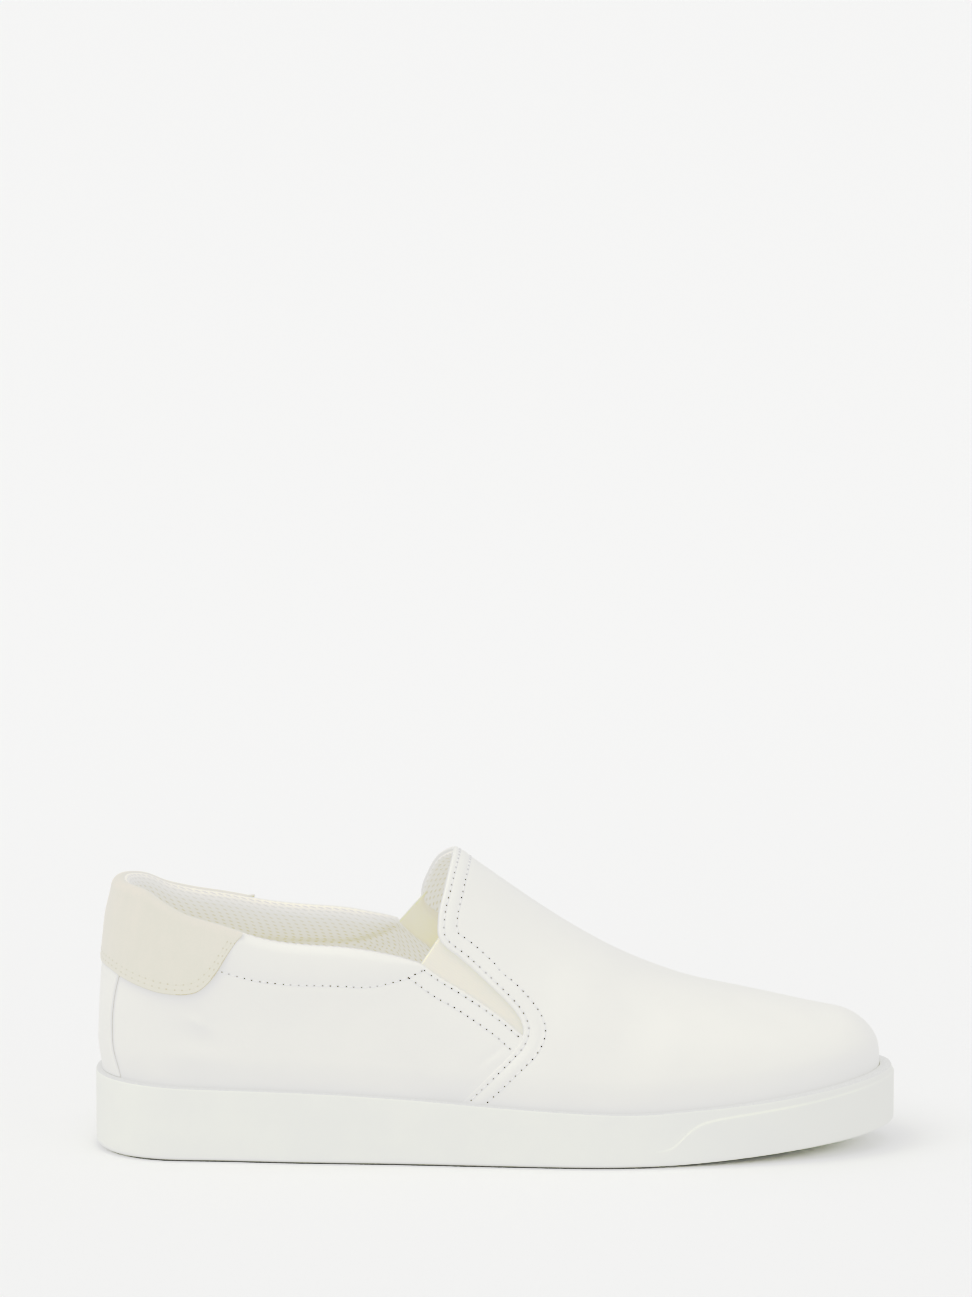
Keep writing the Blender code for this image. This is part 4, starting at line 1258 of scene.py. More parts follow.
def densified(line, times):
    """The line with more points on its straight pieces."""
    at = np.linspace(0, len(line) - 1, (len(line) - 1) * times + 1)
    return np.stack([np.interp(at, np.arange(len(line)), line[:, k]) for k in range(3)], axis=-1)


# About how far the vamp runs from its rear edge to the toe, where the closer lines of its tip begin, and how
# far its rear edge is rounded. Lengths are in metres.
VAMP_LENGTH = 0.150
VAMP_TIP = 0.86
VAMP_EDGE_ROUND = 0.0008
# The welt along the vamp's edge: its height and about half its width, in metres
WELT_HEIGHT = 0.00022
WELT_SPREAD = 0.0017
# How deep the vamp's two stitch rows are pulled in, and about half the width of each, in metres
ROW_DEPTH = 0.00012
NEAR_ROW_SPREAD = 0.0006
FAR_ROW_SPREAD = 0.0008
# How much the vamp's edge is thinned and over what width, in metres. The thinning dies away between these two
# heights, as shares of the instep's.
EDGE_THINNED = 0.0007
THINNED_WIDTH = 0.0055
THINNED_HEIGHTS = (0.37, 0.45)


def vamp_relief(last, share, side, height, apart):
    """The vamp's dents, its rounded edge, and the padded welt between its two stitch rows."""
    near, far = VAMP_SEAMS
    welt = WELT_HEIGHT * np.exp(-(((apart - (near + far) / 2) / WELT_SPREAD) ** 2))
    near_row = np.exp(-(((apart - near) / NEAR_ROW_SPREAD) ** 2))
    far_row = np.exp(-(((apart - far) / FAR_ROW_SPREAD) ** 2))
    seams = ROW_DEPTH * (near_row + far_row)
    skived = 1 - ramp(height / last.sizes.instep, *THINNED_HEIGHTS)
    thin = EDGE_THINNED * skived * (1 - ramp(apart, 0.0, THINNED_WIDTH))
    dents = swelling(last, VAMP_SWELLS, share, side, height)
    return dents + welt - seams - thin - edge_drop(apart, VAMP_EDGE_ROUND)


def make_vamp(context):
    """The vamp, lapped over the quarters, with a folded rear edge."""
    last = Last(context.scene.sneaker_sizes)
    sizes = last.sizes
    places = edged(VAMP_LENGTH, 0.0011, VAMP_EDGE_ROUND, (True, False))
    border = places[places * VAMP_LENGTH < VAMP_EDGE_ROUND * 1.1]
    welt = np.arange(0.0012, 0.0086, 0.00035) / VAMP_LENGTH
    middle = places[(places * VAMP_LENGTH > 0.0092) & (places < VAMP_TIP)]
    tip = rounded_shares(60)[30:] * 2 - 1
    places = np.concatenate([border, welt, middle, lerp(VAMP_TIP, 1.0, tip)])
    face = vamp_grid(last, places, sizes.vamp_step, relief=vamp_relief)
    back = vamp_grid(last, places, sizes.vamp_step - 1.4 * sizes.leather)
    piece = panel("vamp_leather", face, back, finish_of(context, "leather"), open_ends=[0])
    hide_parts("upper")


def make_vamp_lining(context):
    """The knit behind the vamp, set back a little from the leather's edge."""
    last = Last(context.scene.sneaker_sizes)
    sizes = last.sizes
    rounding = setback = 0.0006
    tip_start = 0.93
    tip = rounded_shares(24)[12:] * 2 - 1
    body = edged(VAMP_LENGTH, 0.0025, rounding, (True, False))[:-1] * tip_start
    places = np.sort(np.concatenate([body, lerp(tip_start, 1.0, tip)]))

    def relief(last, share, side, height, apart):
        return edge_drop(apart, rounding)

    depth = sizes.vamp_step - sizes.vamp_wall
    face = vamp_grid(last, places, depth, setback=setback, count=60, relief=relief)
    back = vamp_grid(last, places, sizes.vamp_step - 1.5 * sizes.leather, setback=setback, count=60)
    piece = panel("vamp_lining", face.swapaxes(0, 1), back.swapaxes(0, 1), finish_of(context, "knit"))
    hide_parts("upper")


# The padded roll inside the collar: how far it bulges, how deep the crease at its stitch row is and about half
# its width, and how far the lining steps back below it, in metres
ROLL_BULGE = 0.0007
CREASE_DEPTH = 0.0009
CREASE_SPREAD = 0.0011
ROLL_STEP = 0.0009


def make_collar_lining(context):
    """The padded knit inside the quarters, from the crest of the collar down to the insole."""
    last = Last(context.scene.sneaker_sizes)
    sizes = last.sizes
    share, side = quarter_walk(last, 0.0012)
    keep = share < np.where(side == OUTER, OUTER_SLOT[-1].share, INNER_SLOT[-1].share) - 0.055
    share, side = share[keep], side[keep]
    top = last.quarter_top(share, side)
    radius = last.pad(share, side, top) / 2
    low = last.cup_floor(share) + sizes.clearance
    full = (2 * radius - sizes.wall) / (sizes.collar_pad - sizes.wall)
    width = band_depth(last, share, side)

    def roll(height):
        """The padded roll under the collar line, with the crease at its stitch row and the step below it."""
        below = top - height
        bulge = ROLL_BULGE * np.clip(1 - (2 * below / width - 1) ** 2, 0, None)
        crease = CREASE_DEPTH * np.exp(-(((below - width) / CREASE_SPREAD) ** 2))
        step = ROLL_STEP * ramp(below, width - 0.0010, width + 0.0008)
        return full * (bulge - crease - step)

    def grid(depth):
        rows = []
        for level in np.concatenate([np.linspace(0, 0.62, 18), np.linspace(0.635, 1, 50)]):
            height = lerp(low, top - radius, level)
            thick = last.pad(share, side, height) + roll(height)
            inside = np.maximum(sizes.leather + 0.0001, thick - depth)
            rows.append(last.wall(share, side, height, -np.where(depth > 0, inside, thick)))
        for turn in np.radians([165, 150, 135, 120, 110, 103, 98, 94, 88]):
            sunk = 0.0008 * ramp(-turn, -1.75, -1.55) - 0.00015
            inner = np.minimum(depth, radius * 0.7)
            size = radius - inner - sunk
            height = top - radius + size * np.sin(turn)
            rows.append(last.wall(share, side, height, -radius + size * np.cos(turn)))
        return np.array(rows)

    piece = panel("collar_lining", grid(0.0), grid(0.0009), finish_of(context, "knit"), from_end=True)
    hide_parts("upper")


# How near its free edge a face of a gore takes the edge's finish, in metres
GORE_EDGE_WIDTH = 0.0008


def make_gore(context, name, node, side):
    """The elastic in one slot. Its long edges run on under vamp and quarter, and its top edge is free."""
    last = Last(context.scene.sneaker_sizes)
    sizes = last.sizes
    corner = last.slot_start[side]
    one = np.ones(1)
    tuck = 0.0035
    length = 0.040
    rounding = 0.0006

    def low_line(share):
        return last.slot_height(share, side * np.ones_like(share))

    heights = np.linspace(0.30, GORE_TOP[side], 200) * sizes.instep
    edge = last.vamp_edge(heights, side * np.ones_like(heights))
    gap = heights - low_line(edge)
    narrow_height = heights[np.argmax(gap > 0.0018)]
    narrow = float(last.vamp_edge(narrow_height * one, side * one)[0])
    along = edged(length, rounding, rounding, (False, True))
    across = np.linspace(0, 1, 34)
    low_share = lerp(narrow, corner, along)
    low_height = low_line(low_share)
    high_height = lerp(narrow_height, GORE_TOP[side] * sizes.instep, along)
    high_share = last.vamp_edge(high_height, side * np.ones_like(high_height))
    low = np.stack([low_share * sizes.sole_length, low_height], axis=-1)
    high = np.stack([high_share * sizes.sole_length, high_height], axis=-1)
    way = unit(high - low)
    low, high = low - way * tuck, high + way * tuck

    def grid(depth, rounded):
        flat = low[None] + (high - low)[None] * across[:, None, None]
        share, height = flat[..., 0] / sizes.sole_length, flat[..., 1]
        run = (1 - along) * length
        fall = edge_drop(run, rounding)[None, :] if rounded else 0.0
        sag = 0.0004 * np.sin(np.pi * across)[:, None] * ramp(along, 0.1, 0.6)[None, :]
        return last.wall(share, side * np.ones_like(share), height, -depth - fall - sag)

    # Faces turned into the shoe take the elastic's back, whose colour is partly painted light
    finishes = [finish_of(context, kind) for kind in ("elastic", "elastic_back", "elastic_edge")]
    face_depth, back_depth = 0.0011, 0.0019
    piece = panel(name, grid(face_depth, True), grid(back_depth, False), finishes)
    free_edge = densified(grid((face_depth + back_depth) / 2, False)[:, -1], 3)
    centres = np.array([face.center for face in piece.data.polygons])
    at_edge = edge_distance(free_edge, centres) < GORE_EDGE_WIDTH
    for face, edge in zip(piece.data.polygons, at_edge):
        face.material_index = 2 if edge else int(face.normal.y * side < -0.2)
    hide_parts(node)


def patch_half(last, side, count):
    """Shares along one half of the patch, from the middle of the heel to where it ends at the collar."""
    low, high = 0.14, 0.1999
    one = np.ones(1)
    for _ in range(30):
        middle = (low + high) / 2
        top = last.collar_height(middle * one, side * one)[0] - 0.0005
        if last.patch_low(middle * one)[0] < top:
            low = middle
        else:
            high = middle
    fine = low * np.linspace(0, 1, 3001) ** 2
    line = last.outline(fine, side * np.ones_like(fine))
    run = run_along(line)
    return np.interp(np.linspace(0, run[-1], count), run, fine)


# The thickness of the suede where it turns over the collar, and how much of its cut edge shows, in metres
PATCH_AT_COLLAR = 0.00035
RAW_EDGE = 0.00025


def patch_lift(last, height, top):
    """The thickness of the suede, which is skived where it turns over the collar."""
    skived = ramp(height, top - 0.014, top - last.sizes.collar_pad / 2)
    return lerp(last.sizes.patch, PATCH_AT_COLLAR, skived)


def make_heel_patch(context):
    """The suede round the heel, turned over the crest of the collar."""
    last = Last(context.scene.sneaker_sizes)
    sizes = last.sizes
    outer, inner = patch_half(last, OUTER, 100), patch_half(last, INNER, 100)
    share = np.concatenate([outer[::-1], inner[1:]])
    side = np.concatenate([np.full(len(outer), OUTER), np.full(len(inner) - 1, INNER)])
    top = last.collar_height(share, side)
    radius = last.pad(share, side, top) / 2
    low = last.patch_low(share)
    wide = np.maximum(top - low, 0.0004)
    bend = np.minimum(radius, wide * 0.8)
    rounding = 0.0006
    levels = edged(0.030, 0.0008, rounding, (True, False))
    run = run_along(last.outline(share, side))
    slope = np.gradient(low) / np.gradient(run)
    raw = RAW_EDGE * np.sqrt(1 + slope * slope) / np.maximum(wide - bend, 0.0005)
    raw_rows = np.clip(np.searchsorted(levels, raw), 2, len(levels) - 1)[:-1]

    def grid(rounded):
        rows = []
        for level in levels:
            height = lerp(low, top - bend, level)
            near = level * (wide - bend)
            fall = edge_drop(near, rounding) * rounded
            lift = patch_lift(last, height, top) * rounded
            rows.append(last.wall(share, side, height, sizes.clearance + lift - fall))
        for turn in np.radians([12, 24, 36, 48, 60, 72, 84, 92, 98]):
            rim = lerp(PATCH_AT_COLLAR * rounded + sizes.clearance, 0.0001 + 0.0002 * rounded, turn / 1.71)
            tucked = 0.0002 * ramp(turn, 1.45, 1.71) * rounded
            lift = -radius + (radius + rim - tucked) * np.cos(turn)
            height = top - bend + (bend + rim - tucked) * np.sin(turn)
            rows.append(last.wall(share, side, height, np.where(bend < radius, lift * bend / radius, lift)))
        return np.array(rows)

    # The cut edge takes a colour darkened partly with painted shade
    finishes = [finish_of(context, "suede"), finish_of(context, "raw_edge")]
    piece = panel("heel_suede", grid(1.0), grid(0.0), finishes, raw_rows=raw_rows)
    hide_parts("heel_patch")


# The tubes of painted shadow in the seams along the backstay: how far they stand off the quarters, and their
# radius, in metres
SEAM_LIFT = 0.00012
SEAM_RADIUS = 0.00016


def backstay_share(last, distance):
    """How far along the shoe its outline has come this far sideways from the middle of the heel."""
    fine = np.linspace(0, last.sizes.heel_round / last.sizes.sole_length, 2000)
    return np.interp(distance, last.half_width(fine, np.full_like(fine, OUTER)), fine)


def make_backstay(context):
    """The strip down the middle of the heel, between the rim of the cup and the patch."""
    last = Last(context.scene.sneaker_sizes)
    sizes = last.sizes
    rounding = 0.0005
    level = edged(0.036, 0.0009, rounding)
    across = 2 * edged(0.040, 0.0008, rounding) - 1
    width = lerp(sizes.backstay_top, sizes.backstay_waist, np.sin(np.pi * level))
    share = backstay_share(last, np.abs(across)[None, :] * width[:, None] / 2)
    side = np.broadcast_to(np.where(across <= 0, OUTER, INNER)[None, :], share.shape)
    low, top = last.rim(share) + sizes.clearance, last.patch_low(share) + 0.0012
    height = lerp(low, top, level[:, None])
    border = (1 - np.abs(across)[None, :]) * width[:, None] / 2
    fall = edge_drop(border, rounding)
    face = last.wall(share, side, height, sizes.clearance + sizes.backstay * 0.8 - fall)
    back = last.wall(share, side, height, sizes.clearance * 0.5)
    piece = panel("backstay_leather", face, back, finish_of(context, "leather"))
    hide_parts("backstay")
    # Dark tubes of painted shadow along the backstay's seams
    for name, column in (("backstay_seam_outer", 0), ("backstay_seam_inner", -1)):
        line = last.wall(share[:, column], side[:, column], height[:, column], SEAM_LIFT)
        tube(context, name, line, SEAM_RADIUS)


def tube(context, name, line, radius):
    """A dark tube of painted shadow laid along a seam's line."""
    tangent = unit(np.gradient(line, axis=0))
    across = unit(np.cross(tangent, np.array([0.0, 0.0, 1.0])))
    up = np.cross(across, tangent)
    turns = np.radians(np.arange(0, 360, 60))
    rings = [line + radius * (math.cos(t) * across + math.sin(t) * up) for t in turns]
    count = len(line)
    points = np.concatenate(rings)
    faces = []
    for k in range(len(turns)):
        this, after = k * count, (k + 1) % len(turns) * count
        faces += [[this + i, this + i + 1, after + i + 1, after + i] for i in range(count - 1)]
    faces.append([k * count for k in range(len(turns))][::-1])
    faces.append([k * count + count - 1 for k in range(len(turns))])
    piece = mesh_object(name, points, faces, finish_of(context, "seam"))


# The needle holes are dark beads of painted shadow.
# How much of the pitch a thread spans, how far the needle holes wander along their row, as a share of the
# pitch, and how far they stand off the leather, in metres
THREAD_SHARE = 0.72
HOLE_WANDER = 0.05
HOLE_LIFT = 0.00003


def spaced(line, normal, pitch):
    """Points and normals at an even pitch along a line."""
    run = run_along(line)
    count = max(1, int(round(run[-1] / pitch)))
    at = np.linspace(0, run[-1], count + 1)
    place = np.stack([np.interp(at, run, line[:, k]) for k in range(3)], axis=-1)
    square = unit(np.stack([np.interp(at, run, normal[:, k]) for k in range(3)], axis=-1))
    return place, square


def bead(length, width, height, rings, sides):
    """A bead of this size: its points in its own frame, along, across and up, and its faces."""
    points, faces = [(-length / 2, 0.0, 0.0)], []
    for ring in range(1, rings):
        angle = math.pi * ring / rings
        for k in range(sides):
            turn = 2 * math.pi * k / sides
            size = math.sin(angle) ** 0.6 / 2
            points.append(
                (-length / 2 * math.cos(angle), width * size * math.cos(turn), height * size * math.sin(turn))
            )
    points.append((length / 2, 0.0, 0.0))
    last_point = len(points) - 1
    for k in range(sides):
        after = (k + 1) % sides
        faces.append([0, 1 + after, 1 + k])
        base = 1 + (rings - 2) * sides
        faces.append([last_point, base + k, base + after])
        for ring in range(rings - 2):
            low, high = 1 + ring * sides, 1 + (ring + 1) * sides
            faces.append([low + k, low + after, high + after, high + k])
    return np.array(points), faces


def scatter(name, shape, places, along, up, finish, uneven=0.0):
    """Copies of a bead at these places, joined into one mesh, whose sizes differ by up to this share."""
    points, faces = shape
    grown = 1 + uneven * np.sin(37.0 * np.arange(len(places)))
    side = unit(np.cross(up, along))
    along = unit(np.cross(side, up))
    axes = np.stack([along, side, up], axis=1)
    moved = np.einsum("n,pk,nkc->npc", grown, points, axes) + places[:, None, :]
    joined = []
    for n in range(len(places)):
        joined += [[n * len(points) + i for i in face] for face in faces]
    return mesh_object(name, moved.reshape(-1, 3), joined, finish)


def end_to_end(rows):
    """The places, directions and normals of several rows, each as one array."""
    return [np.concatenate([row[k] for row in rows]) for k in range(3)]


def sew(context, name, rows, thread_kind="thread", hole_kind="hole"):
    """Rows of stitches: threads that dive into needle holes, drawn as dark beads of painted shadow. Each row is
    a line and its normals.
    """
    sizes = context.scene.sneaker_sizes
    pitch = sizes.stitch_pitch
    threads, holes = [], []
    for line, normal in rows:
        place, square = spaced(line, normal, pitch)
        middle = (place[1:] + place[:-1]) / 2
        up = unit(square[1:] + square[:-1])
        along = unit(place[1:] - place[:-1])
        threads.append((middle + up * sizes.thread * 0.10, along, up))
        ways = unit(np.gradient(place, axis=0))
        wander = HOLE_WANDER * pitch * np.sin(2.3 * np.arange(len(place)))
        holes.append((place + square * HOLE_LIFT + ways * wander[:, None], ways, square))
    thread = bead(pitch * THREAD_SHARE, sizes.thread, sizes.thread, 7, 7)
    piece = scatter(name + "_thread", thread, *end_to_end(threads), finish_of(context, thread_kind))
    hole = bead(sizes.needle, sizes.needle * 0.85, sizes.needle * 0.40, 6, 8)
    piece = scatter(name + "_holes", hole, *end_to_end(holes), finish_of(context, hole_kind), uneven=0.08)


def row_on_quarter(last, side, share, height):
    """A stitch row on the quarter through these shares and heights."""
    sides = np.full_like(share, side)
    level = last.level_at(share, height)
    relief = quarter_relief(last, share, sides, height)
    return last.lifted(share, sides, level, relief), last.outward(share, sides, level)


def row_on_vamp(last, distance, widening):
    """A stitch row at this distance from the vamp's rear edge, from one side of the cup over the instep to the
    other. It keeps further off where the edge turns round the end of the gore."""
    sides, levels = vamp_lines(500)
    begin = vamp_begins(last, sides, levels)
    height = last.surface(begin, sides, levels)[..., 2]
    edge = last.surface(begin, sides, levels)
    keep = levels > 0.01
    sides, levels, begin, height = sides[keep], levels[keep], begin[keep], height[keep]
    near_end = (height / last.sizes.instep - GORE_END_HEIGHT) / GORE_END_SPREAD
    wanted = distance + widening * np.exp(-(near_end**2))
    low, high = begin, begin + 0.07
    for _ in range(22):
        middle = (low + high) / 2
        ahead = edge_distance(edge, last.surface(middle, sides, levels)) - wanted
        low, high = np.where(ahead < 0, middle, low), np.where(ahead < 0, high, middle)
    share = (low + high) / 2
    height = last.surface(share, sides, levels)[..., 2]
    lift = last.sizes.vamp_step + vamp_relief(last, share, sides, height, wanted)
    return last.lifted(share, sides, levels, lift), last.outward(share, sides, levels)


# The two stitch rows below the gore slot: how far each lies from it, and between which shares it runs on the
# outer side. On the inner side they start further back with the collar's corner.
SlotSeam = namedtuple("SlotSeam", "apart start end")
SLOT_SEAMS = (SlotSeam(0.0013, 0.412, 0.527), SlotSeam(0.0063, 0.3935, 0.5175))
# How much of that shift their front ends take
SLOT_SEAM_END_SHIFT = 0.17
# How far the stitch rows lie from the vamp's rear edge and from the patch's lower edge, in metres
VAMP_SEAMS = (0.0019, 0.0063)
PATCH_SEAMS = (0.0018, 0.0036)
# Where the edge turns round the end of the gore, the vamp's second row keeps further off it: at which height
# and over what spread, as shares of the instep's, and how much further, in metres
GORE_END_HEIGHT = 0.47
GORE_END_SPREAD = 0.11
GORE_END_WIDENING = 0.0012
# How far under the collar line the patch's rows end, and how far their threads sink into the suede, in metres
PATCH_SEAM_END = 0.004
PATCH_SEAM_SUNK = 0.00008


def slot_line(last, share, side):
    """The lower edge of the gore slot, and the straight line on from it behind the collar's corner."""
    start = last.slot_start[side]
    first, second = last.slot_height(np.array([start, start + 0.01]), np.full(2, side))
    behind = first + (share - start) * (second - first) / 0.01
    return np.where(share < start, behind, last.slot_height(share, side + 0 * share))


def make_stitching(context):
    """All the sewing that shows: collar, gore slots, vamp and heel patch."""
    last = Last(context.scene.sneaker_sizes)
    sizes = last.sizes
    quarter_rows, patch_rows = [], []
    near, far = VAMP_SEAMS
    vamp_rows = [row_on_vamp(last, near, 0.0), row_on_vamp(last, far, GORE_END_WIDENING)]
    for side in (OUTER, INNER):
        back = last.slot_start[OUTER] - last.slot_start[side]
        share = np.linspace(BAND_START, BAND_END - back, 300)
        sides = np.full_like(share, side)
        height = last.quarter_top(share, sides) - band_depth(last, share, sides)
        quarter_rows.append(row_on_quarter(last, side, share, height))
        for seam in SLOT_SEAMS:
            share = np.linspace(seam.start - back, seam.end - back * SLOT_SEAM_END_SHIFT, 200)
            slope = np.gradient(slot_line(last, share, side)) / np.gradient(share * sizes.sole_length)
            height = slot_line(last, share, side) - seam.apart * np.sqrt(1 + slope * slope)
            quarter_rows.append(row_on_quarter(last, side, share, height))
        ends = patch_half(last, side, 200)
        height = last.patch_low(ends)
        line = np.stack([ends * sizes.sole_length, height], axis=-1)
        real = last.wall(ends, np.full_like(ends, side), height, np.zeros_like(ends))
        run = run_along(real)
        slope = unit(np.stack([np.gradient(run), np.gradient(height)], axis=-1))
        for inset in PATCH_SEAMS:
            moved_run = np.maximum(0.0, run - slope[:, 1] * inset)
            moved_height = height + slope[:, 0] * inset
            moved_share = np.interp(moved_run, run, ends)
            collar = last.collar_height(moved_share, np.full_like(ends, side))
            keep = moved_height < collar - PATCH_SEAM_END
            moved_share, moved_height = moved_share[keep], moved_height[keep]
            sides = np.full_like(moved_share, side)
            level = last.level_at(moved_share, moved_height)
            lift = sizes.clearance + patch_lift(last, moved_height, last.collar_height(moved_share, sides))
            line = last.lifted(moved_share, sides, level, lift - PATCH_SEAM_SUNK)
            patch_rows.append((line, last.outward(moved_share, sides, level)))
    sew(context, "quarter_stitch", quarter_rows)
    sew(context, "vamp_stitch", vamp_rows)
    sew(context, "patch_stitch", patch_rows, "suede_thread", "suede_hole")


# The picture's size, the pixel on which the origin falls, and the scale there
PHOTO_SIZE = (972, 1297)
SHOE_PIXEL = (495.5, 1141.5)
PIXELS_PER_METRE = 2891.0
CAMERA_DISTANCE = 2.6
CAMERA_ELEVATION = math.radians(12.0)

# How far the floor reaches and how far it lies below the tread, in metres
FLOOR_REACH = 30.0
FLOOR_DEPTH = 0.00005

# The lights: how far each stands to the left of the camera and above the floor, how wide it is, all in degrees,
# and its strength. The sky's strength comes first.
SKY = 0.715
Light = namedtuple("Light", "name turn rise spread strength")
LIGHTS = (
    Light("key_light", 45, 60, 60, 0.76),
    Light("top_light", 0, 85, 50, 0.24),
    Light("front_light", 10, 26, 40, 0.09),
)

# How the tones between black and white are shown: each tone, and the one it is shown as
TONES = (
    (0.06, 0.08),
    (0.11, 0.18),
    (0.16, 0.35),
    (0.20, 0.46),
    (0.27, 0.575),
    (0.36, 0.646),
    (0.45, 0.690),
    (0.56, 0.723),
    (0.65, 0.746),
    (0.73, 0.772),
    (0.80, 0.814),
    (0.88, 0.880),
)


def place_camera(context):
    """The camera stands as the photo's did, and aims so that the origin falls on the shoe's own pixel."""
    focal = PIXELS_PER_METRE * CAMERA_DISTANCE
    drop = math.atan((SHOE_PIXEL[1] - PHOTO_SIZE[1] / 2) / focal)
    turn = math.atan((SHOE_PIXEL[0] - PHOTO_SIZE[0] / 2) / focal)
    data = bpy.data.cameras.new("camera")
    data.sensor_width = 36.0
    data.lens = focal * data.sensor_width / max(PHOTO_SIZE)
    data.clip_start, data.clip_end = 0.1, 60.0
    camera = bpy.data.objects.new("camera", data)
    camera.location = (
        0.0,
        -CAMERA_DISTANCE * math.cos(CAMERA_ELEVATION),
        CAMERA_DISTANCE * math.sin(CAMERA_ELEVATION),
    )
    camera.rotation_euler = (math.pi / 2 - CAMERA_ELEVATION + drop, 0.0, turn)
    context.scene.collection.objects.link(camera)
    context.scene.camera = camera


def add_light(context, row):
    """A wide soft light, far off, from one row of the table."""
    data = bpy.data.lights.new(row.name, "SUN")
    data.angle = math.radians(row.spread)
    data.energy = row.strength
    light = bpy.data.objects.new(row.name, data)
    light.rotation_euler = (math.radians(90 - row.rise), 0.0, math.radians(-row.turn))
    context.scene.collection.objects.link(light)


def set_tone(context):
    """Holds the shadows open, as a studio's reflectors would, and leaves the lightest tones as they are."""
    settings = context.scene.view_settings
    settings.view_transform = "Standard"
    settings.look = "None"
    settings.use_curve_mapping = True
    curve = settings.curve_mapping.curves[3]
    for shade, shown in TONES:
        curve.points.new(shade, shown)
    settings.curve_mapping.update()


def make_stage(context):
    """A pale floor, painted a little lighter towards the back, soft light from all round and the camera."""
    colours = context.scene.sneaker_colours
    paint = Paint("studio floor", colours.floor, 0.9)
    parts = paint.node("ShaderNodeSeparateXYZ", Vector=paint.place())
    # Painted light: the floor grows a little lighter from the front towards the back
    back = paint.map(parts.outputs["Y"], -0.5, 1.2)
    paint.mottle(back, 0.977, 1.012)
    paint.set_surface(Specular_IOR_Level=0.1)
    mesh = bpy.data.meshes.new("studio_floor")
    signs = ((-1, -1), (1, -1), (1, 1), (-1, 1))
    corners = [(x * FLOOR_REACH, y * FLOOR_REACH, -FLOOR_DEPTH) for x, y in signs]
    mesh.from_pydata(corners, [], [[0, 1, 2, 3]])
    mesh.materials.append(paint.material)
    floor = bpy.data.objects.new("studio_floor", mesh)
    context.scene.collection.objects.link(floor)
    world = bpy.data.worlds.new("studio")
    world.use_nodes = True
    sky = world.node_tree.nodes["Background"]
    sky.inputs["Color"].default_value = (1.0, 1.0, 1.0, 1.0)
    sky.inputs["Strength"].default_value = SKY
    context.scene.world = world
    for row in LIGHTS:
        add_light(context, row)
    set_tone(context)
    place_camera(context)


class SNEAKER_OT_sole(bpy.types.Operator):
    """Moulded cup sole with its rim, toe bumper and tread"""

    bl_idname = "sneaker.sole"
    bl_label = "Cup Sole"
    bl_options = {"REGISTER", "UNDO"}

    def execute(self, context):
        make_sole(context)
        return {"FINISHED"}


class SNEAKER_OT_insole(bpy.types.Operator):
    """Dished insole on the floor of the cup"""

    bl_idname = "sneaker.insole"
    bl_label = "Insole"
    bl_options = {"REGISTER", "UNDO"}

    def execute(self, context):
        make_insole(context)
        return {"FINISHED"}


class SNEAKER_OT_quarters(bpy.types.Operator):
    """Leather quarters, rolled over the collar"""

    bl_idname = "sneaker.quarters"
    bl_label = "Quarters"
    bl_options = {"REGISTER", "UNDO"}

    def execute(self, context):
        make_quarters(context)
        return {"FINISHED"}


class SNEAKER_OT_vamp(bpy.types.Operator):
    """Leather vamp, lapped over the quarters, with its lining"""

    bl_idname = "sneaker.vamp"
    bl_label = "Vamp"
    bl_options = {"REGISTER", "UNDO"}

    def execute(self, context):
        make_vamp(context)
        make_vamp_lining(context)
        return {"FINISHED"}


class SNEAKER_OT_collar_lining(bpy.types.Operator):
    """Padded knit lining of the collar and heel"""

    bl_idname = "sneaker.collar_lining"
    bl_label = "Collar Lining"
    bl_options = {"REGISTER", "UNDO"}

    def execute(self, context):
        make_collar_lining(context)
        return {"FINISHED"}


class SNEAKER_OT_gores(bpy.types.Operator):
    """Elastic gores on both sides"""

    bl_idname = "sneaker.gores"
    bl_label = "Gores"
    bl_options = {"REGISTER", "UNDO"}

    def execute(self, context):
        make_gore(context, "gore_outer_elastic", "gore_lateral", OUTER)
        make_gore(context, "gore_inner_elastic", "gore_medial", INNER)
        return {"FINISHED"}


class SNEAKER_OT_heel(bpy.types.Operator):
    """Suede heel patch and leather backstay"""

    bl_idname = "sneaker.heel"
    bl_label = "Heel Patch and Backstay"
    bl_options = {"REGISTER", "UNDO"}

    def execute(self, context):
        make_heel_patch(context)
        make_backstay(context)
        return {"FINISHED"}


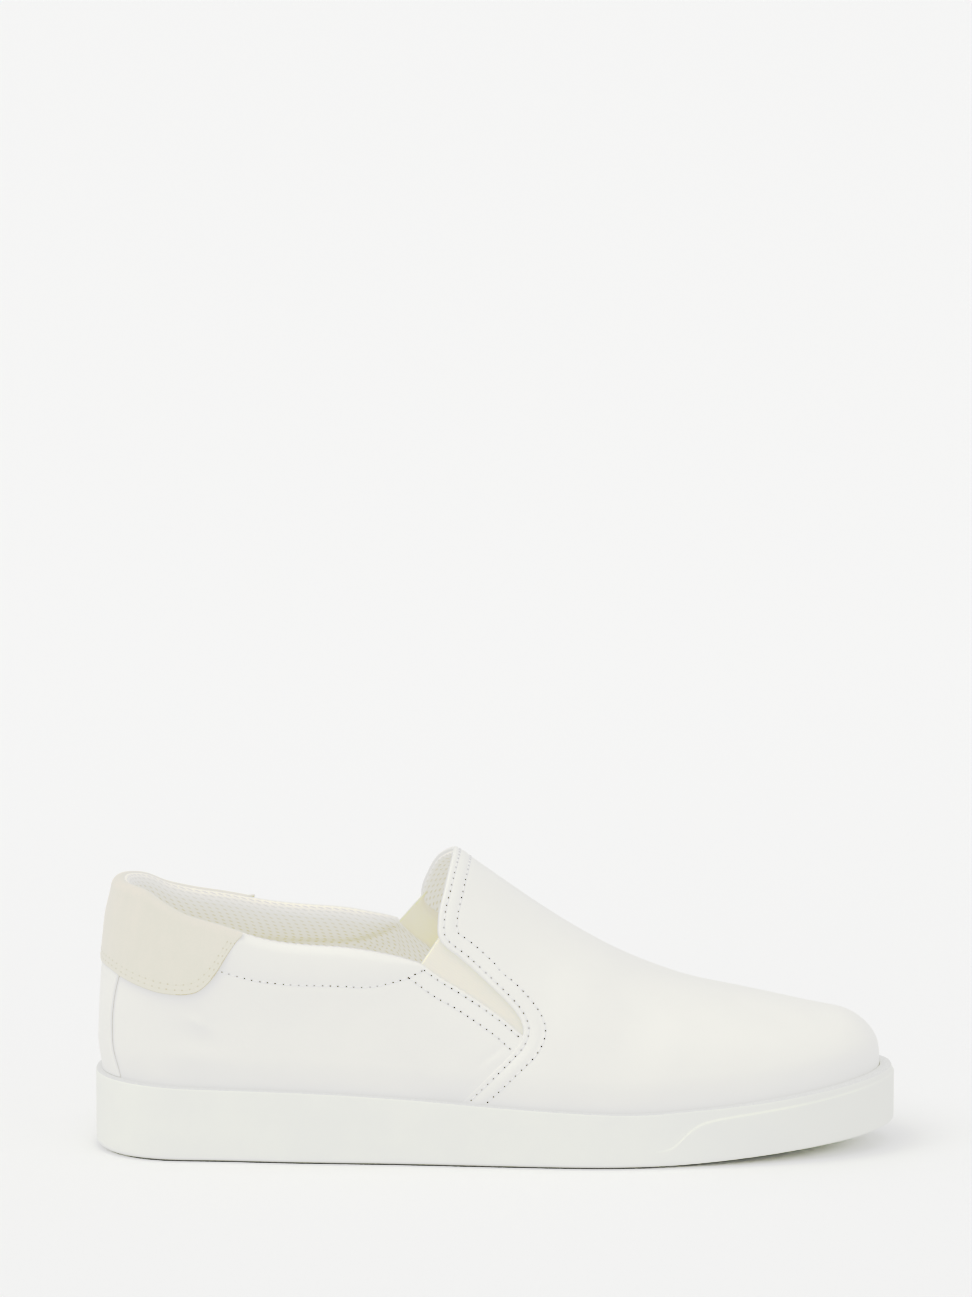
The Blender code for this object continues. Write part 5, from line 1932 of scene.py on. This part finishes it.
class SNEAKER_OT_stitching(bpy.types.Operator):
    """Stitch rows of collar, gores, vamp and patch"""

    bl_idname = "sneaker.stitching"
    bl_label = "Stitching"
    bl_options = {"REGISTER", "UNDO"}

    def execute(self, context):
        make_stitching(context)
        return {"FINISHED"}


class SNEAKER_OT_stage(bpy.types.Operator):
    """Floor, lights and camera"""

    bl_idname = "sneaker.stage"
    bl_label = "Studio"
    bl_options = {"REGISTER", "UNDO"}

    def execute(self, context):
        make_stage(context)
        return {"FINISHED"}


OPERATORS = (
    SNEAKER_OT_sole,
    SNEAKER_OT_insole,
    SNEAKER_OT_quarters,
    SNEAKER_OT_vamp,
    SNEAKER_OT_collar_lining,
    SNEAKER_OT_gores,
    SNEAKER_OT_heel,
    SNEAKER_OT_stitching,
    SNEAKER_OT_stage,
)


class SNEAKER_PT_panel(bpy.types.Panel):
    """Lists the pieces of the sneaker with their sizes and colours"""

    bl_idname = "SNEAKER_PT_panel"
    bl_label = "Slip-on Sneaker"
    bl_space_type = "VIEW_3D"
    bl_region_type = "UI"
    bl_category = "Sneaker"

    def draw(self, context):
        for operator in OPERATORS:
            self.layout.operator(operator.bl_idname)
        for group in (context.scene.sneaker_sizes, context.scene.sneaker_colours):
            box = self.layout.box()
            for name in type(group).__annotations__:
                box.prop(group, name)


CLASSES = (SneakerSizes, SneakerColours, *OPERATORS, SNEAKER_PT_panel)


def register():
    for each in CLASSES:
        bpy.utils.register_class(each)
    bpy.types.Scene.sneaker_sizes = bpy.props.PointerProperty(type=SneakerSizes)
    bpy.types.Scene.sneaker_colours = bpy.props.PointerProperty(type=SneakerColours)


def unregister():
    del bpy.types.Scene.sneaker_colours
    del bpy.types.Scene.sneaker_sizes
    for each in reversed(CLASSES):
        bpy.utils.unregister_class(each)


def main():
    register()
    bpy.ops.sneaker.sole()
    bpy.ops.sneaker.insole()
    bpy.ops.sneaker.quarters()
    bpy.ops.sneaker.vamp()
    bpy.ops.sneaker.collar_lining()
    bpy.ops.sneaker.gores()
    bpy.ops.sneaker.heel()
    bpy.ops.sneaker.stitching()
    bpy.ops.sneaker.stage()


if __name__ == "__main__":
    main()
